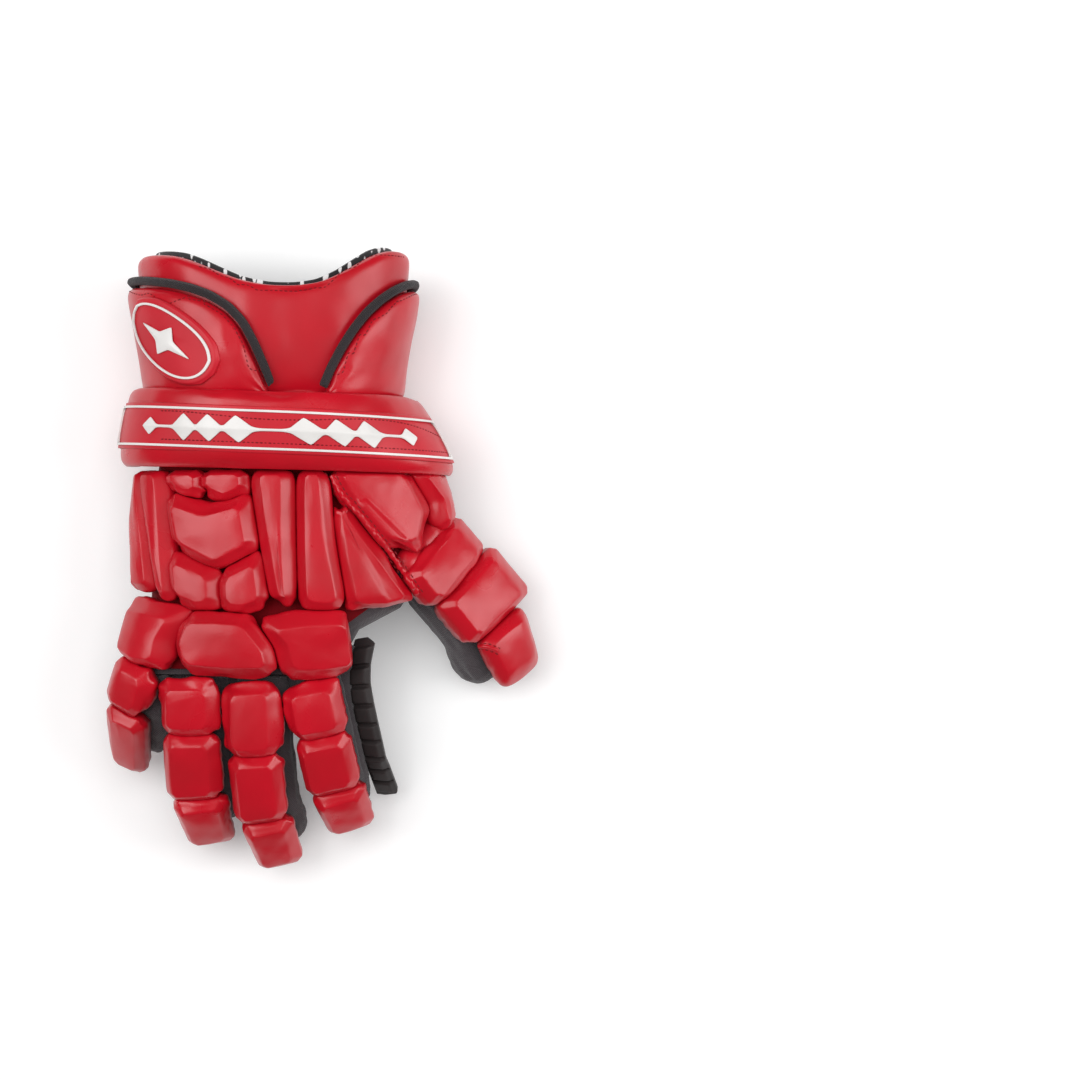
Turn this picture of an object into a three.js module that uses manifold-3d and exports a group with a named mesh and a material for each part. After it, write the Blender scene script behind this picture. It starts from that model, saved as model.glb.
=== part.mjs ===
// A right-hand lacrosse glove, lying palm down the way it rests by itself.
// Lengths are millimetres. +X points to the thumb's side, +Y out of the cuff's mouth and +Z up.
// The hand goes in at the cuff's mouth: the lining, the palm shell and the five stalls are hollow.
import * as THREE from "three";
import { mergeVertices } from "three/addons/utils/BufferGeometryUtils.js";
import Module from "manifold-3d";

const wasm = await Module();
wasm.setup();

// The whole glove
const GLOVE_LENGTH = 330; // middle fingertip to the cuff's highest point
const BODY_WIDTH = 140; // what the body table's left and right are shares of
const BODY_HEIGHT = 80; // what the body table's low and high are shares of
const BODY_SQUARENESS = 2.35; // 2 is an ellipse, more is squarer

// Walls and clearances
const SHELL_WALL = 2.4;
const LINING_WALL = 2.4;
const STALL_WALL = 2;
const COVER_SEAT = 0.9; // how far the cover clears the shell's facets
const COVER_THICKNESS = 1;
const PIECE_GAP = 0.35; // between pieces that lie against each other
const PAD_GAP = 0.6; // between the widest outlines of two neighbouring pads

// The pads on the back of the hand
const BACK_LEFT = -0.707 * BODY_WIDTH; // X of the outer edge of the back of the hand
const BACK_WIDTH = 0.836 * BODY_WIDTH; // from there to the index finger's edge
const BACK_TOP = 49.5; // Y where the pads come out from under the wrist roll
const BACK_LENGTH = 75.6; // from there to the knuckle line
const PAD_OUTLINE_RISE = 9; // the height over the body at which an outline has its stated size
const PAD_CORNER = 3.4;
const SEAM_TUCK = 1.5; // how far a pad's side is pulled in at its seam
const PAD_CROWN = 0.5;
const ARC = 0.85; // mm round the edge of the hand for each degree
const COVER_LEFT = -90; // degrees round the body

// The cuff and the wrist roll
const CUFF_BOTTOM = 86.5; // Y of the lower ends of the cuff's panels
const BACK_PANEL_THICKNESS = 8.5;
const PANEL_SEAT = 0.7; // how far the back panel clears the lining's facets
const BACK_PANEL_EDGE = 3.4; // its thickness where it ends under the flaps
const FLAP_THICKNESS = 6.5;
const LINING_SHOW = 2; // how far the lining stands past the back panel's edge
const PALM_EDGE_Y = 150; // the mouth's edge under the wrist
const PIPING_RADIUS = 2.5;
const ROLL_Y = 69; // middle of the wrist roll
const ROLL_HALF_LENGTH = 21;
const ROLL_RISE = 21; // its height over the body at the middle
const ROLL_ENDS = 112; // degrees round the wrist from the top
const ROLL_TILT = 2.6; // how far it leans towards the fingers on the thumb's side

// The rubber plate and the patch
const PLATE_ENDS = 84; // degrees round the wrist from the top
const PLATE_THICKNESS = 2;
const PLATE_HALF_WIDTH = 12.4;
const LINE_WIDTH = 1.2;
const LINE_HEIGHT = 0.9;
const PATCH_LENGTH = 58;
const PATCH_WIDTH = 37;
const PATCH_THICKNESS = 3;
const PATCH_TURN = -40; // its middle, in degrees round the wrist
const PATCH_Y = 116;
const PATCH_TILT = 38;
const PATCH_ARC = 1.05; // mm round the flap for each degree

// Fingers
const STALL_SQUARENESS = 2.8;
const FINGER_PAD_THICKNESS = 14;
const FINGER_START = -0.179 * GLOVE_LENGTH; // Y where the stalls leave the shell
const STALL_SIDES = 12;
const SEAT_SHARE = 0.085; // how far a finger pad clears the stall's rounding, as a share of its half width
const GUARD_WIDTH = 13.5;
const GUARD_TILT = 30; // degrees its outer edge is turned up
const GUARD_THICKNESS = 3;
const GUARD_RIB_HEIGHT = 2.6;
const GUARD_RIBS = 9;

// Body sections from the knuckles to the mouth. along is a share of the glove's length from the fingertips,
// left and right are shares of the body's width, low and high of its height.
const BODY_SECTIONS = [
  { along: 0.321, left: -0.665, right: 0.112, low: 0.46, high: 0.79 },
  { along: 0.361, left: -0.65, right: 0.118, low: 0.43, high: 0.81 },
  { along: 0.388, left: -0.635, right: 0.15, low: 0.4, high: 0.82 },
  { along: 0.409, left: -0.62, right: 0.25, low: 0.375, high: 0.825 },
  { along: 0.433, left: -0.616, right: 0.335, low: 0.35, high: 0.825 },
  { along: 0.47, left: -0.614, right: 0.383, low: 0.32, high: 0.825 },
  { along: 0.53, left: -0.614, right: 0.412, low: 0.275, high: 0.82 },
  { along: 0.591, left: -0.607, right: 0.4, low: 0.235, high: 0.82 },
  { along: 0.652, left: -0.593, right: 0.355, low: 0.185, high: 0.83 },
  { along: 0.709, left: -0.568, right: 0.29, low: 0.08, high: 0.865 },
  { along: 0.767, left: -0.548, right: 0.218, low: 0, high: 0.905 },
  { along: 0.858, left: -0.582, right: 0.25, low: -0.03, high: 0.955 },
  { along: 0.939, left: -0.614, right: 0.284, low: -0.045, high: 0.99 },
  { along: 0.985, left: -0.627, right: 0.3, low: -0.05, high: 1.005 },
];

// Pads on the back of the hand. left and right are shares across it at the top, middle and bottom, and
// top and bottom are shares along it at the left, middle and right. bevel is left, right, top, bottom in mm.
const BACK_PADS = [
  {
    name: "top_block_outer", left: [0.2, 0.206, 0.212], right: [0.362, 0.362, 0.362],
    top: [0, 0, 0], bottom: [0.13, 0.19, 0.195], bevel: [3, 3, 3, 3], rise: 12,
  },
  {
    name: "top_block_inner", left: [0.362, 0.362, 0.362], right: [0.558, 0.562, 0.566],
    top: [0, 0, 0], bottom: [0.165, 0.235, 0.165], bevel: [3, 3.5, 3, 3.5], rise: 12.5,
  },
  {
    name: "chevron_pad", left: [0.212, 0.232, 0.252], right: [0.572, 0.592, 0.612],
    top: [0.16, 0.26, 0.178], bottom: [0.545, 0.695, 0.545], bevel: [3, 5, 5, 3], rise: 15,
  },
  {
    name: "lower_block_outer", left: [0.222, 0.232, 0.245], right: [0.44, 0.441, 0.443],
    top: [0.56, 0.635, 0.71], bottom: [0.915, 0.98, 0.97], bevel: [2.5, 5, 5, 3.5], rise: 13.5,
  },
  {
    name: "lower_block_inner", left: [0.443, 0.445, 0.448], right: [0.622, 0.635, 0.65],
    top: [0.71, 0.635, 0.56], bottom: [0.985, 1.0, 0.94], bevel: [3.5, 4, 5, 3.5], rise: 13.5,
  },
  {
    name: "back_rib_1", left: [0.566, 0.605, 0.652], right: [0.768, 0.77, 0.775],
    top: [0, 0, 0], bottom: [0.9, 0.935, 0.94], bevel: [5, 7, 3, 3], rise: 14.5,
  },
  {
    name: "back_rib_2", left: [0.77, 0.772, 0.778], right: [0.91, 0.94, 0.99],
    top: [0, 0, 0], bottom: [0.96, 0.975, 0.965], bevel: [3.5, 6, 3, 3], rise: 14.5,
  },
  {
    name: "web_pad", left: [0.928, 0.958, 1.0], right: [0.995, 1.15, 1.29],
    top: [0.31, 0.28, 0.25], bottom: [0.985, 0.98, 0.915], bevel: [3, 6, 1.2, 3], rise: 12.5,
  },
  {
    name: "thumb_base_pad", left: [0.91, 0.932, 0.97], right: [1.25, 1.34, 1.3],
    top: [0, 0, 0], bottom: [0.215, 0.53, 0.585], bevel: [4, 6, 3, 4], rise: 14,
  },
  {
    name: "knuckle_middle", left: [0.3, 0.25, 0.272], right: [0.572, 0.655, 0.68],
    top: [1.0, 1.005, 1.02], bottom: [1.41, 1.44, 1.44], bevel: [4, 6, 5, 4], rise: 16,
  },
  {
    name: "knuckle_inner", left: [0.592, 0.675, 0.7], right: [0.985, 0.99, 0.995],
    top: [1.045, 1.0, 0.99], bottom: [1.455, 1.45, 1.42], bevel: [4, 5, 7, 4], rise: 16,
  },
];

// Pads that wrap round the edges of the hand. left and right are degrees round the body from straight up.
const SIDE_PADS = [
  {
    name: "outer_rib_1", left: [-108, -108, -104], right: [-88, -86, -77],
    top: [0, 0, 0], bottom: [0.84, 0.86, 0.85], bevel: [3, 3, 3, 4], rise: 10.5,
  },
  {
    name: "outer_rib_2", left: [-88, -86, -77], right: [-73, -61, -53],
    top: [0, 0, 0], bottom: [0.85, 0.86, 0.84], bevel: [3, 3.5, 3, 4], rise: 12,
  },
  {
    name: "outer_rib_3", left: [-73, -61, -53], right: [-49.5, -44.6, -40],
    top: [0, 0, 0], bottom: [0.88, 0.92, 0.9], bevel: [3.5, 4, 3, 4], rise: 12.5,
  },
  {
    name: "thumb_base_side", left: [53, 68.5, 70], right: [92, 95, 88],
    top: [0, 0, 0], bottom: [0.45, 0.38, 0.3], bevel: [2, 3, 3, 3], rise: 15,
  },
  {
    name: "knuckle_outer", left: [-84, -86, -82], right: [-29, -33.5, -31],
    top: [0.905, 0.925, 0.985], bottom: [1.29, 1.37, 1.4], bevel: [4, 7, 6, 4], rise: 13,
  },
];

// Fingers from the little one to the index, in shares of the body's width, its height and the glove's
// length. x and z place the finger's axis where it leaves the shell, across and up are the stall's half
// sizes, and roll turns the finger about its axis towards the thumb. offset moves the pads across the
// finger. Each bone has a length, a turn from -Y towards the thumb and a dip below level.
const FINGER_SHARES = [
  {
    name: "little", x: -0.5929, z: 0.5875, across: 0.0793, up: 0.1275, roll: -24,
    offset: -0.0379, padStart: -0.0152, padHalf: 0.0936, bevel: [6, 4],
    bones: [
      { length: 0.0461, turn: -20, dip: 16 },
      { length: 0.1212, turn: -3, dip: 48 },
    ],
  },
  {
    name: "ring", x: -0.4114, z: 0.6188, across: 0.0921, up: 0.13, roll: -3,
    offset: -0.0529, padStart: -0.003, padHalf: 0.1093, bevel: [3.5, 6],
    bones: [
      { length: 0.0788, turn: 0, dip: 8 },
      { length: 0.0939, turn: 2, dip: 23 },
      { length: 0.1015, turn: 12, dip: 46 },
    ],
  },
  {
    name: "middle", x: -0.2014, z: 0.625, across: 0.1071, up: 0.1325, roll: 0,
    offset: -0.035, padStart: 0.0045, padHalf: 0.105, bevel: [3.5, 6.5],
    bones: [
      { length: 0.1121, turn: 2, dip: 7 },
      { length: 0.0985, turn: 4.5, dip: 22 },
      { length: 0.097, turn: 15, dip: 42 },
    ],
  },
  {
    name: "index", x: 0.0071, z: 0.6188, across: 0.0957, up: 0.13, roll: 0,
    offset: -0.0257, padStart: 0.0015, padHalf: 0.1107, bevel: [3.5, 6.5],
    bones: [
      { length: 0.0803, turn: 12, dip: 8 },
      { length: 0.0833, turn: 11, dip: 26 },
      { length: 0.0909, turn: 18, dip: 46 },
    ],
  },
];

// The thumb: its axis starts inside the shell, its pads start at the first joint.
const THUMB_SHARES = {
  name: "thumb", x: 0.2107, y: 0.0703, z: 0.55, across: 0.1286, up: 0.1625, roll: 33,
  offset: 0.0414, padHalf: 0.1536,
  bones: [
    { length: 0.0842, turn: 46.5, dip: 10.6 },
    { length: 0.0706, turn: 40, dip: 15 },
    { length: 0.0909, turn: 38.6, dip: 17.6 },
    { length: 0.0939, turn: 21, dip: 20.4 },
  ],
};
// A finger's shares made millimetres
const sized = (finger) => ({
  ...finger,
  x: finger.x * BODY_WIDTH,
  y: (finger.y ?? 0) * GLOVE_LENGTH,
  z: finger.z * BODY_HEIGHT,
  across: finger.across * BODY_WIDTH,
  up: finger.up * BODY_HEIGHT,
  offset: finger.offset * BODY_WIDTH,
  padHalf: finger.padHalf * BODY_WIDTH,
  padStart: (finger.padStart ?? 0) * GLOVE_LENGTH,
  bones: finger.bones.map((bone) => ({ ...bone, length: bone.length * GLOVE_LENGTH })),
});
const FINGERS = FINGER_SHARES.map(sized);
const THUMB = sized(THUMB_SHARES);
const THUMB_PAD_THICKNESS = 13;
const THUMB_PADS = [
  { name: "thumb_block_1", bone: 1, bevel: [4, 9, 3, 3], end: 1, taper: 1, narrow: -4, shift: -4.6 },
  { name: "thumb_block_2", bone: 2, bevel: [5, 9, 4, 4], end: 1, taper: 1, narrow: -4.5 },
  { name: "thumb_tip_block", bone: 3, bevel: [5, 7, 5, 8], end: 1.06, taper: 0.82, narrow: 2.5 },
];

// The cuff's edges: the highest Y at each turn round the wrist.
const PANEL_EDGE = [
  { along: -104, y: 0.4606 }, { along: -95, y: 0.4758 }, { along: -76, y: 0.4909 }, { along: -56, y: 0.4924 },
  { along: -38, y: 0.4864 }, { along: -24, y: 0.4697 }, { along: -12, y: 0.4515 }, { along: -2, y: 0.4409 },
  { along: 10, y: 0.4394 }, { along: 22, y: 0.447 }, { along: 34, y: 0.4667 }, { along: 46, y: 0.4879 },
  { along: 58, y: 0.4985 }, { along: 70, y: 0.5 }, { along: 86, y: 0.4939 }, { along: 104, y: 0.4667 },
];
const OUTER_FLAP_EDGE = [
  { along: -117, y: 0.4061 }, { along: -104, y: 0.4303 }, { along: -90, y: 0.4409 },
  { along: -76, y: 0.4424 },
  { along: -62, y: 0.4409 }, { along: -50, y: 0.4379 }, { along: -39, y: 0.4333 }, { along: -29, y: 0.4258 },
  { along: -21, y: 0.4152 }, { along: -14, y: 0.3985 }, { along: -9, y: 0.3758 }, { along: -5.5, y: 0.3455 },
  { along: -2.5, y: 0.3121 }, { along: 0, y: 0.2758 },
];
const INNER_FLAP_EDGE = [
  { along: 24, y: 0.2742 }, { along: 28, y: 0.3061 }, { along: 32, y: 0.3364 }, { along: 37, y: 0.3652 },
  { along: 43.5, y: 0.3924 }, { along: 51, y: 0.4121 }, { along: 59, y: 0.4258 }, { along: 68, y: 0.4348 },
  { along: 80, y: 0.4394 }, { along: 92, y: 0.4364 }, { along: 104, y: 0.4242 }, { along: 116, y: 0.4 },
];

// The cover's edge on the thumb's side, from the roll to the knuckles.
const COVER_EDGE = [
  { along: -60, x: 62 }, { along: -40, x: 64 }, { along: -22, x: 62 }, { along: 0, x: 50 },
  { along: 16, x: 46 }, { along: 26, x: 32 }, { along: 36, x: 16 }, { along: 60, x: 14 },
];

// How a stall closes at its tip: at is a share of the last bone, size of the section.
const STALL_TIP = [
  { at: 0.5, size: 1 },
  { at: 0.8, size: 0.88 },
  { at: 0.94, size: 0.64 },
  { at: 1.0, size: 0.3 },
];

// The plate's row of lozenges: reach is half its height at each turn, between points it is a thin line.
const MOTIF = [
  { turn: -51, reach: 0.7 }, { turn: -47, reach: 4.6 }, { turn: -43, reach: 0.7 },
  { turn: -34.5, reach: 0.7 },
  { turn: -29.5, reach: 7.2 }, { turn: -24.5, reach: 0.7 }, { turn: -19.5, reach: 7.2 },
  { turn: -14.5, reach: 0.7 },
  { turn: -9.5, reach: 7.2 }, { turn: -4.5, reach: 0.7 }, { turn: 3.5, reach: 0.7 }, { turn: 9, reach: 7.2 },
  { turn: 14.5, reach: 0.7 }, { turn: 20, reach: 7.2 }, { turn: 25.5, reach: 0.7 }, { turn: 31, reach: 7.2 },
  { turn: 36.5, reach: 0.7 }, { turn: 46, reach: 0.7 }, { turn: 50, reach: 4.6 }, { turn: 54, reach: 0.7 },
];

// The rubber guard beside the index finger: how far its inner edge is out from the stall's side.
const GUARD_EDGE = [
  { along: -14, out: 11 }, { along: -6, out: 7 }, { along: 2, out: 3.9 }, { along: 10, out: 2.2 },
  { along: 22, out: 1.7 }, { along: 50, out: 1.7 }, { along: 86, out: 1.1 },
];

// How a pad's side climbs: rise is a share of its thickness, tuck of SEAM_TUCK, bevel of the side's bevel.
const PAD_PROFILE = [
  { rise: 0.0, tuck: 1, bevel: 0 },
  { rise: 0.4, tuck: 0, bevel: 0 },
  { rise: 0.66, tuck: 0, bevel: 0.08 },
  { rise: 0.95, tuck: 0, bevel: 0.88 },
  { rise: 1.0, tuck: 0, bevel: 1.08 },
];

// The roll's section: along is a share of its half length towards the fingers, rise of its height.
// Its middle stands on the body and its two lips hang over the flaps and the pads.
const ROLL_PROFILE = [
  { along: 0.7, rise: 0.07 },
  { along: -0.66, rise: 0.07 },
  { along: -0.68, rise: 0.83 },
  { along: -0.9, rise: 0.84 },
  { along: -1.0, rise: 0.93 },
  { along: -0.94, rise: 1.03 },
  { along: -0.62, rise: 1.1 },
  { along: 0.0, rise: 1.12 },
  { along: 0.62, rise: 1.1 },
  { along: 0.94, rise: 1.0 },
  { along: 1.0, rise: 0.9 },
  { along: 0.92, rise: 0.8 },
  { along: 0.72, rise: 0.78 },
];

const rad = THREE.MathUtils.degToRad;
const lerp = THREE.MathUtils.lerp;
const clamp = THREE.MathUtils.clamp;
const vec = (x, y, z) => new THREE.Vector3(x, y, z);
const root = new THREE.Group();

// Evenly spaced numbers from one end to the other.
const steps = (from, to, count) => Array.from({ length: count + 1 }, (_, i) => lerp(from, to, i / count));

// Materials
const leather = { color: 0xb80d22, roughness: 0.42, metalness: 0 };
const finishes = {
  leather: new THREE.MeshStandardMaterial(leather),
  fabric: new THREE.MeshStandardMaterial({ color: 0x2b2529, roughness: 0.92, metalness: 0 }),
  rubber: new THREE.MeshStandardMaterial({ color: 0x2c2826, roughness: 0.6, metalness: 0 }),
  red_rubber: new THREE.MeshStandardMaterial({ color: 0xc42a36, roughness: 0.55, metalness: 0 }),
  white_rubber: new THREE.MeshStandardMaterial({ color: 0xe8e3df, roughness: 0.5, metalness: 0 }),
};

// The height over the shell at which the back's pads start.
const padSeat = COVER_SEAT + COVER_THICKNESS + 3 * PIECE_GAP;

// Adds a named piece to the glove.
function addPiece(name, geometry, finish) {
  const mesh = new THREE.Mesh(geometry, finishes[finish]);
  mesh.name = name;
  root.add(mesh);
}

// A closed solid through rings of equally many points. Its ends are flat, or fans round given crowns,
// or it is joined end to end as a loop.
function ringSolid(rings, { loop = false, crowns = null } = {}) {
  const count = rings[0].length;
  const points = rings.flat();
  const faces = [];
  const bands = loop ? rings.length : rings.length - 1;
  for (let r = 0; r < bands; r++) {
    const here = r * count;
    const next = ((r + 1) % rings.length) * count;
    for (let i = 0; i < count; i++) {
      const j = (i + 1) % count;
      faces.push(here + i, here + j, next + j, here + i, next + j, next + i);
    }
  }
  const ends = loop ? [] : [0, (rings.length - 1) * count];
  ends.forEach((start, end) => {
    const corners = crowns ? fanFaces(count) : flatFaces(points.slice(start, start + count));
    for (const [a, b, c] of corners) {
      const [i, j, k] = [a, b, c].map((corner) => (corner < count ? start + corner : points.length));
      faces.push(...(end ? [i, j, k] : [i, k, j]));
    }
    if (crowns) points.push(crowns[end]);
  });
  return facingOut(points, faces);
}

// Triangles from each edge of a ring to a middle point, whose number is count.
const fanFaces = (count) => steps(0, count - 1, count - 1).map((i) => [i, (i + 1) % count, count]);

// Triangles that close a flat ring, turned the way the ring runs.
function flatFaces(ring) {
  const normal = vec(0, 0, 0);
  ring.forEach((p, i) => normal.add(p.clone().cross(ring[(i + 1) % ring.length])));
  normal.normalize();
  const u = ring[1].clone().sub(ring[0]).projectOnPlane(normal).normalize();
  const v = normal.clone().cross(u);
  const flat = ring.map((p) => new THREE.Vector2(p.dot(u), p.dot(v)));
  return THREE.ShapeUtils.triangulateShape(flat, []).map(([a, b, c]) => {
    const turn = flat[b].clone().sub(flat[a]).cross(flat[c].clone().sub(flat[a]));
    return turn < 0 ? [a, c, b] : [a, b, c];
  });
}

// Turns the faces round if they point inwards.
function facingOut(points, faces) {
  let volume = 0;
  for (let i = 0; i < faces.length; i += 3) {
    const [a, b, c] = [points[faces[i]], points[faces[i + 1]], points[faces[i + 2]]];
    volume += a.dot(b.clone().cross(c));
  }
  if (volume < 0) faces.reverse();
  const geometry = new THREE.BufferGeometry().setFromPoints(points);
  geometry.setIndex(faces);
  return geometry;
}

function toSolid(geometry) {
  const bare = new THREE.BufferGeometry();
  bare.setAttribute("position", geometry.getAttribute("position"));
  bare.setIndex(geometry.index);
  const merged = mergeVertices(bare, 1e-3);
  return new wasm.Manifold(
    new wasm.Mesh({
      numProp: 3,
      vertProperties: new Float32Array(merged.attributes.position.array),
      triVerts: new Uint32Array(merged.index.array),
    }),
  );
}

function toGeometry(solid) {
  const mesh = solid.getMesh();
  const geometry = new THREE.BufferGeometry();
  geometry.setAttribute("position", new THREE.BufferAttribute(mesh.vertProperties, 3));
  geometry.setIndex(new THREE.BufferAttribute(mesh.triVerts, 1));
  return geometry;
}

// A smooth curve through one column of a table whose rows rise in "along".
function column(rows, name, along) {
  const at = clamp(along, rows[0].along, rows[rows.length - 1].along);
  let i = 0;
  while (i < rows.length - 2 && rows[i + 1].along < at) i++;
  const slope = (k) => {
    const a = rows[Math.max(k - 1, 0)];
    const b = rows[Math.min(k + 1, rows.length - 1)];
    return (b[name] - a[name]) / (b.along - a.along);
  };
  const step = rows[i + 1].along - rows[i].along;
  const t = (at - rows[i].along) / step;
  const t2 = t * t;
  const t3 = t2 * t;
  return (
    rows[i][name] * (2 * t3 - 3 * t2 + 1) +
    slope(i) * step * (t3 - 2 * t2 + t) +
    rows[i + 1][name] * (3 * t2 - 2 * t3) +
    slope(i + 1) * step * (t3 - t2)
  );
}

// The body's section at y: its middle and half sizes.
function sectionAt(y) {
  const along = y / GLOVE_LENGTH + 0.5;
  const left = column(BODY_SECTIONS, "left", along) * BODY_WIDTH;
  const right = column(BODY_SECTIONS, "right", along) * BODY_WIDTH;
  const low = column(BODY_SECTIONS, "low", along) * BODY_HEIGHT;
  const high = column(BODY_SECTIONS, "high", along) * BODY_HEIGHT;
  const [midX, midZ] = [(left + right) / 2, (low + high) / 2];
  return { midX, midZ, halfX: (right - left) / 2, halfZ: (high - low) / 2 };
}

// A sine or cosine made squarer, and back.
const square = (v, squareness) => Math.sign(v) * Math.abs(v) ** (2 / squareness);
const unsquare = (v, squareness) => Math.sign(v) * Math.abs(v) ** (squareness / 2);

// A point over the body: turn is in degrees from straight up towards the thumb, rise the height over it.
// Nothing goes under the floor, so the glove is flat where it rests.
function bodyPoint(turn, y, rise, floor = 0) {
  const s = sectionAt(y);
  const x = s.midX + (s.halfX + rise) * square(Math.sin(rad(turn)), BODY_SQUARENESS);
  const z = s.midZ + (s.halfZ + rise) * square(Math.cos(rad(turn)), BODY_SQUARENESS);
  return vec(x, y, Math.max(z, floor));
}

// Whether a point lies inside the body grown by this clearance.
function isInBody(p, clearance) {
  if (p.y < FINGER_START - 2) return false;
  const s = sectionAt(p.y);
  const across = Math.abs(p.x - s.midX) / (s.halfX + clearance);
  const up = Math.abs(p.z - s.midZ) / (s.halfZ + clearance);
  return across ** BODY_SQUARENESS + up ** BODY_SQUARENESS < 1;
}

// The turn at which the body, grown by the pads' outline rise, has this x.
function turnOf(x, y) {
  const s = sectionAt(y);
  const share = clamp((x - s.midX) / (s.halfX + PAD_OUTLINE_RISE), -0.998, 0.998);
  return THREE.MathUtils.radToDeg(Math.asin(unsquare(share, BODY_SQUARENESS)));
}

// Moves each point of an outline inwards by the two distances of its edges. Edges are point i to i + 1.
function insetOutline(outline, distances) {
  const area = outline.reduce((sum, [x, y], i) => {
    const [u, v] = outline[(i + 1) % outline.length];
    return sum + x * v - u * y;
  }, 0);
  const inward = Math.sign(area);
  return outline.map((point, i) => {
    const before = outline[(i + outline.length - 1) % outline.length];
    const after = outline[(i + 1) % outline.length];
    const normal = (a, b) => {
      const length = Math.hypot(b[0] - a[0], b[1] - a[1]);
      return [(-inward * (b[1] - a[1])) / length, (inward * (b[0] - a[0])) / length];
    };
    const n0 = normal(before, point);
    const n1 = normal(point, after);
    const d0 = distances[(i + outline.length - 1) % outline.length];
    const d1 = distances[i];
    const cross = n0[0] * n1[1] - n0[1] * n1[0];
    if (Math.abs(cross) < 0.12) {
      return [point[0] + (n0[0] * d0 + n1[0] * d1) / 2, point[1] + (n0[1] * d0 + n1[1] * d1) / 2];
    }
    return [point[0] + (d0 * n1[1] - d1 * n0[1]) / cross, point[1] + (d1 * n0[0] - d0 * n1[0]) / cross];
  });
}

// Cuts the four corners of an outline of eight points, corners first, into twelve points.
function cutCorners(outline, cut) {
  return outline.flatMap((point, i) => {
    if (i % 2) return [point];
    return [outline[(i + 7) % 8], outline[(i + 1) % 8]].map((next) => {
      const length = Math.hypot(next[0] - point[0], next[1] - point[1]);
      const share = Math.min(cut / length, 0.42);
      return [lerp(point[0], next[0], share), lerp(point[1], next[1], share)];
    });
  });
}

// A bevelled foam block under leather. outline has eight points: top left, top, top right, right, bottom
// right, bottom, bottom left and left. bevels are left, right, top, bottom. place puts a plan point at a
// height.
function padSolid(outline, bevels, thickness, place) {
  const [left, right, top, bottom] = bevels;
  const sides = [top, top, right, right, bottom, bottom, left, left];
  const base = insetOutline(outline, sides.map(() => PAD_GAP / 2));
  const rings = PAD_PROFILE.map(({ rise, tuck, bevel }) => {
    const inset = insetOutline(base, sides.map((side) => tuck * SEAM_TUCK + bevel * side));
    return { rise, plan: cutCorners(inset, PAD_CORNER * (1 - 0.35 * bevel)) };
  });
  const under = middleOf(rings[0].plan);
  const shrunk = rings[0].plan.map((p) => [lerp(under[0], p[0], 0.55), lerp(under[1], p[1], 0.55)]);
  rings.unshift({ rise: 0, plan: shrunk });
  const over = middleOf(rings[rings.length - 1].plan);
  const crowns = [place(...under, 0), place(...over, thickness + PAD_CROWN)];
  const placed = rings.map(({ rise, plan }) => plan.map(([x, y]) => place(x, y, rise * thickness)));
  return ringSolid(placed, { crowns });
}

const middleOf = (outline) => [0, 1].map((k) => outline.reduce((sum, p) => sum + p[k], 0) / outline.length);

// A strip that follows the body: one closed profile of [y, rise, floor] for each turn.
function bandSolid(turns, profile, loop = false) {
  const ring = (turn) => profile(turn).map(([y, rise, floor]) => bodyPoint(turn, y, rise, floor));
  return ringSolid(turns.map(ring), { loop });
}

// The frames of a bent finger: one for each bone, with its directions ahead, to the side and up.
function boneFrames(finger, start) {
  const frames = [];
  let origin = start.clone();
  for (const bone of finger.bones) {
    const turn = rad(bone.turn);
    const dip = rad(bone.dip);
    const ahead = vec(Math.sin(turn) * Math.cos(dip), -Math.cos(turn) * Math.cos(dip), -Math.sin(dip));
    const side = vec(Math.cos(turn), Math.sin(turn), 0).applyAxisAngle(ahead, -rad(finger.roll));
    const up = ahead.clone().cross(side).normalize();
    frames.push({ origin, ahead, side, up, length: bone.length });
    origin = origin.clone().addScaledVector(ahead, bone.length);
  }
  return frames;
}

// Where two bones meet, both end in the plane halfway between them.
function meetingNormal(frames, joint) {
  const before = frames[Math.max(joint - 1, 0)].ahead;
  const after = frames[Math.min(joint, frames.length - 1)].ahead;
  return before.clone().add(after).normalize();
}

// A point of bone k: share along it, across and up in its own frame. Its ends lie in the meeting planes.
function bonePoint(frames, k, share, across, up) {
  const frame = frames[k];
  const offset = frame.side.clone().multiplyScalar(across).addScaledVector(frame.up, up);
  const slant = (joint) => {
    const normal = meetingNormal(frames, joint);
    return -offset.dot(normal) / frame.ahead.dot(normal);
  };
  const distance = lerp(slant(k), frame.length + slant(k + 1), share);
  return frame.origin.clone().add(offset).addScaledVector(frame.ahead, distance);
}

// A stall's section as a ring of [across, up].
const stallRing = (count, across, up) =>
  steps(0, 360, count).slice(0, count).map((turn) => [
    across * square(Math.sin(rad(turn)), STALL_SQUARENESS),
    up * square(Math.cos(rad(turn)), STALL_SQUARENESS),
  ]);

// One skin of a stall after its base ring. shrink is how far it lies inside the outer surface.
function stallRings(finger, frames, shrink) {
  const last = frames.length - 1;
  const ringAt = (k, share, size) => {
    const across = Math.max(finger.across - shrink, 1) * size;
    const up = Math.max(finger.up - shrink, 1) * size;
    return stallRing(STALL_SIDES, across, up).map((spot) => {
      const p = bonePoint(frames, k, share, ...spot);
      p.z = Math.max(p.z, shrink);
      return p;
    });
  };
  const rings = [];
  for (let k = 0; k < last; k++) rings.push(ringAt(k, 1, 1));
  const reach = 1 - shrink / frames[last].length;
  for (const { at, size } of STALL_TIP) rings.push(ringAt(last, at * reach, size));
  return rings;
}

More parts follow.
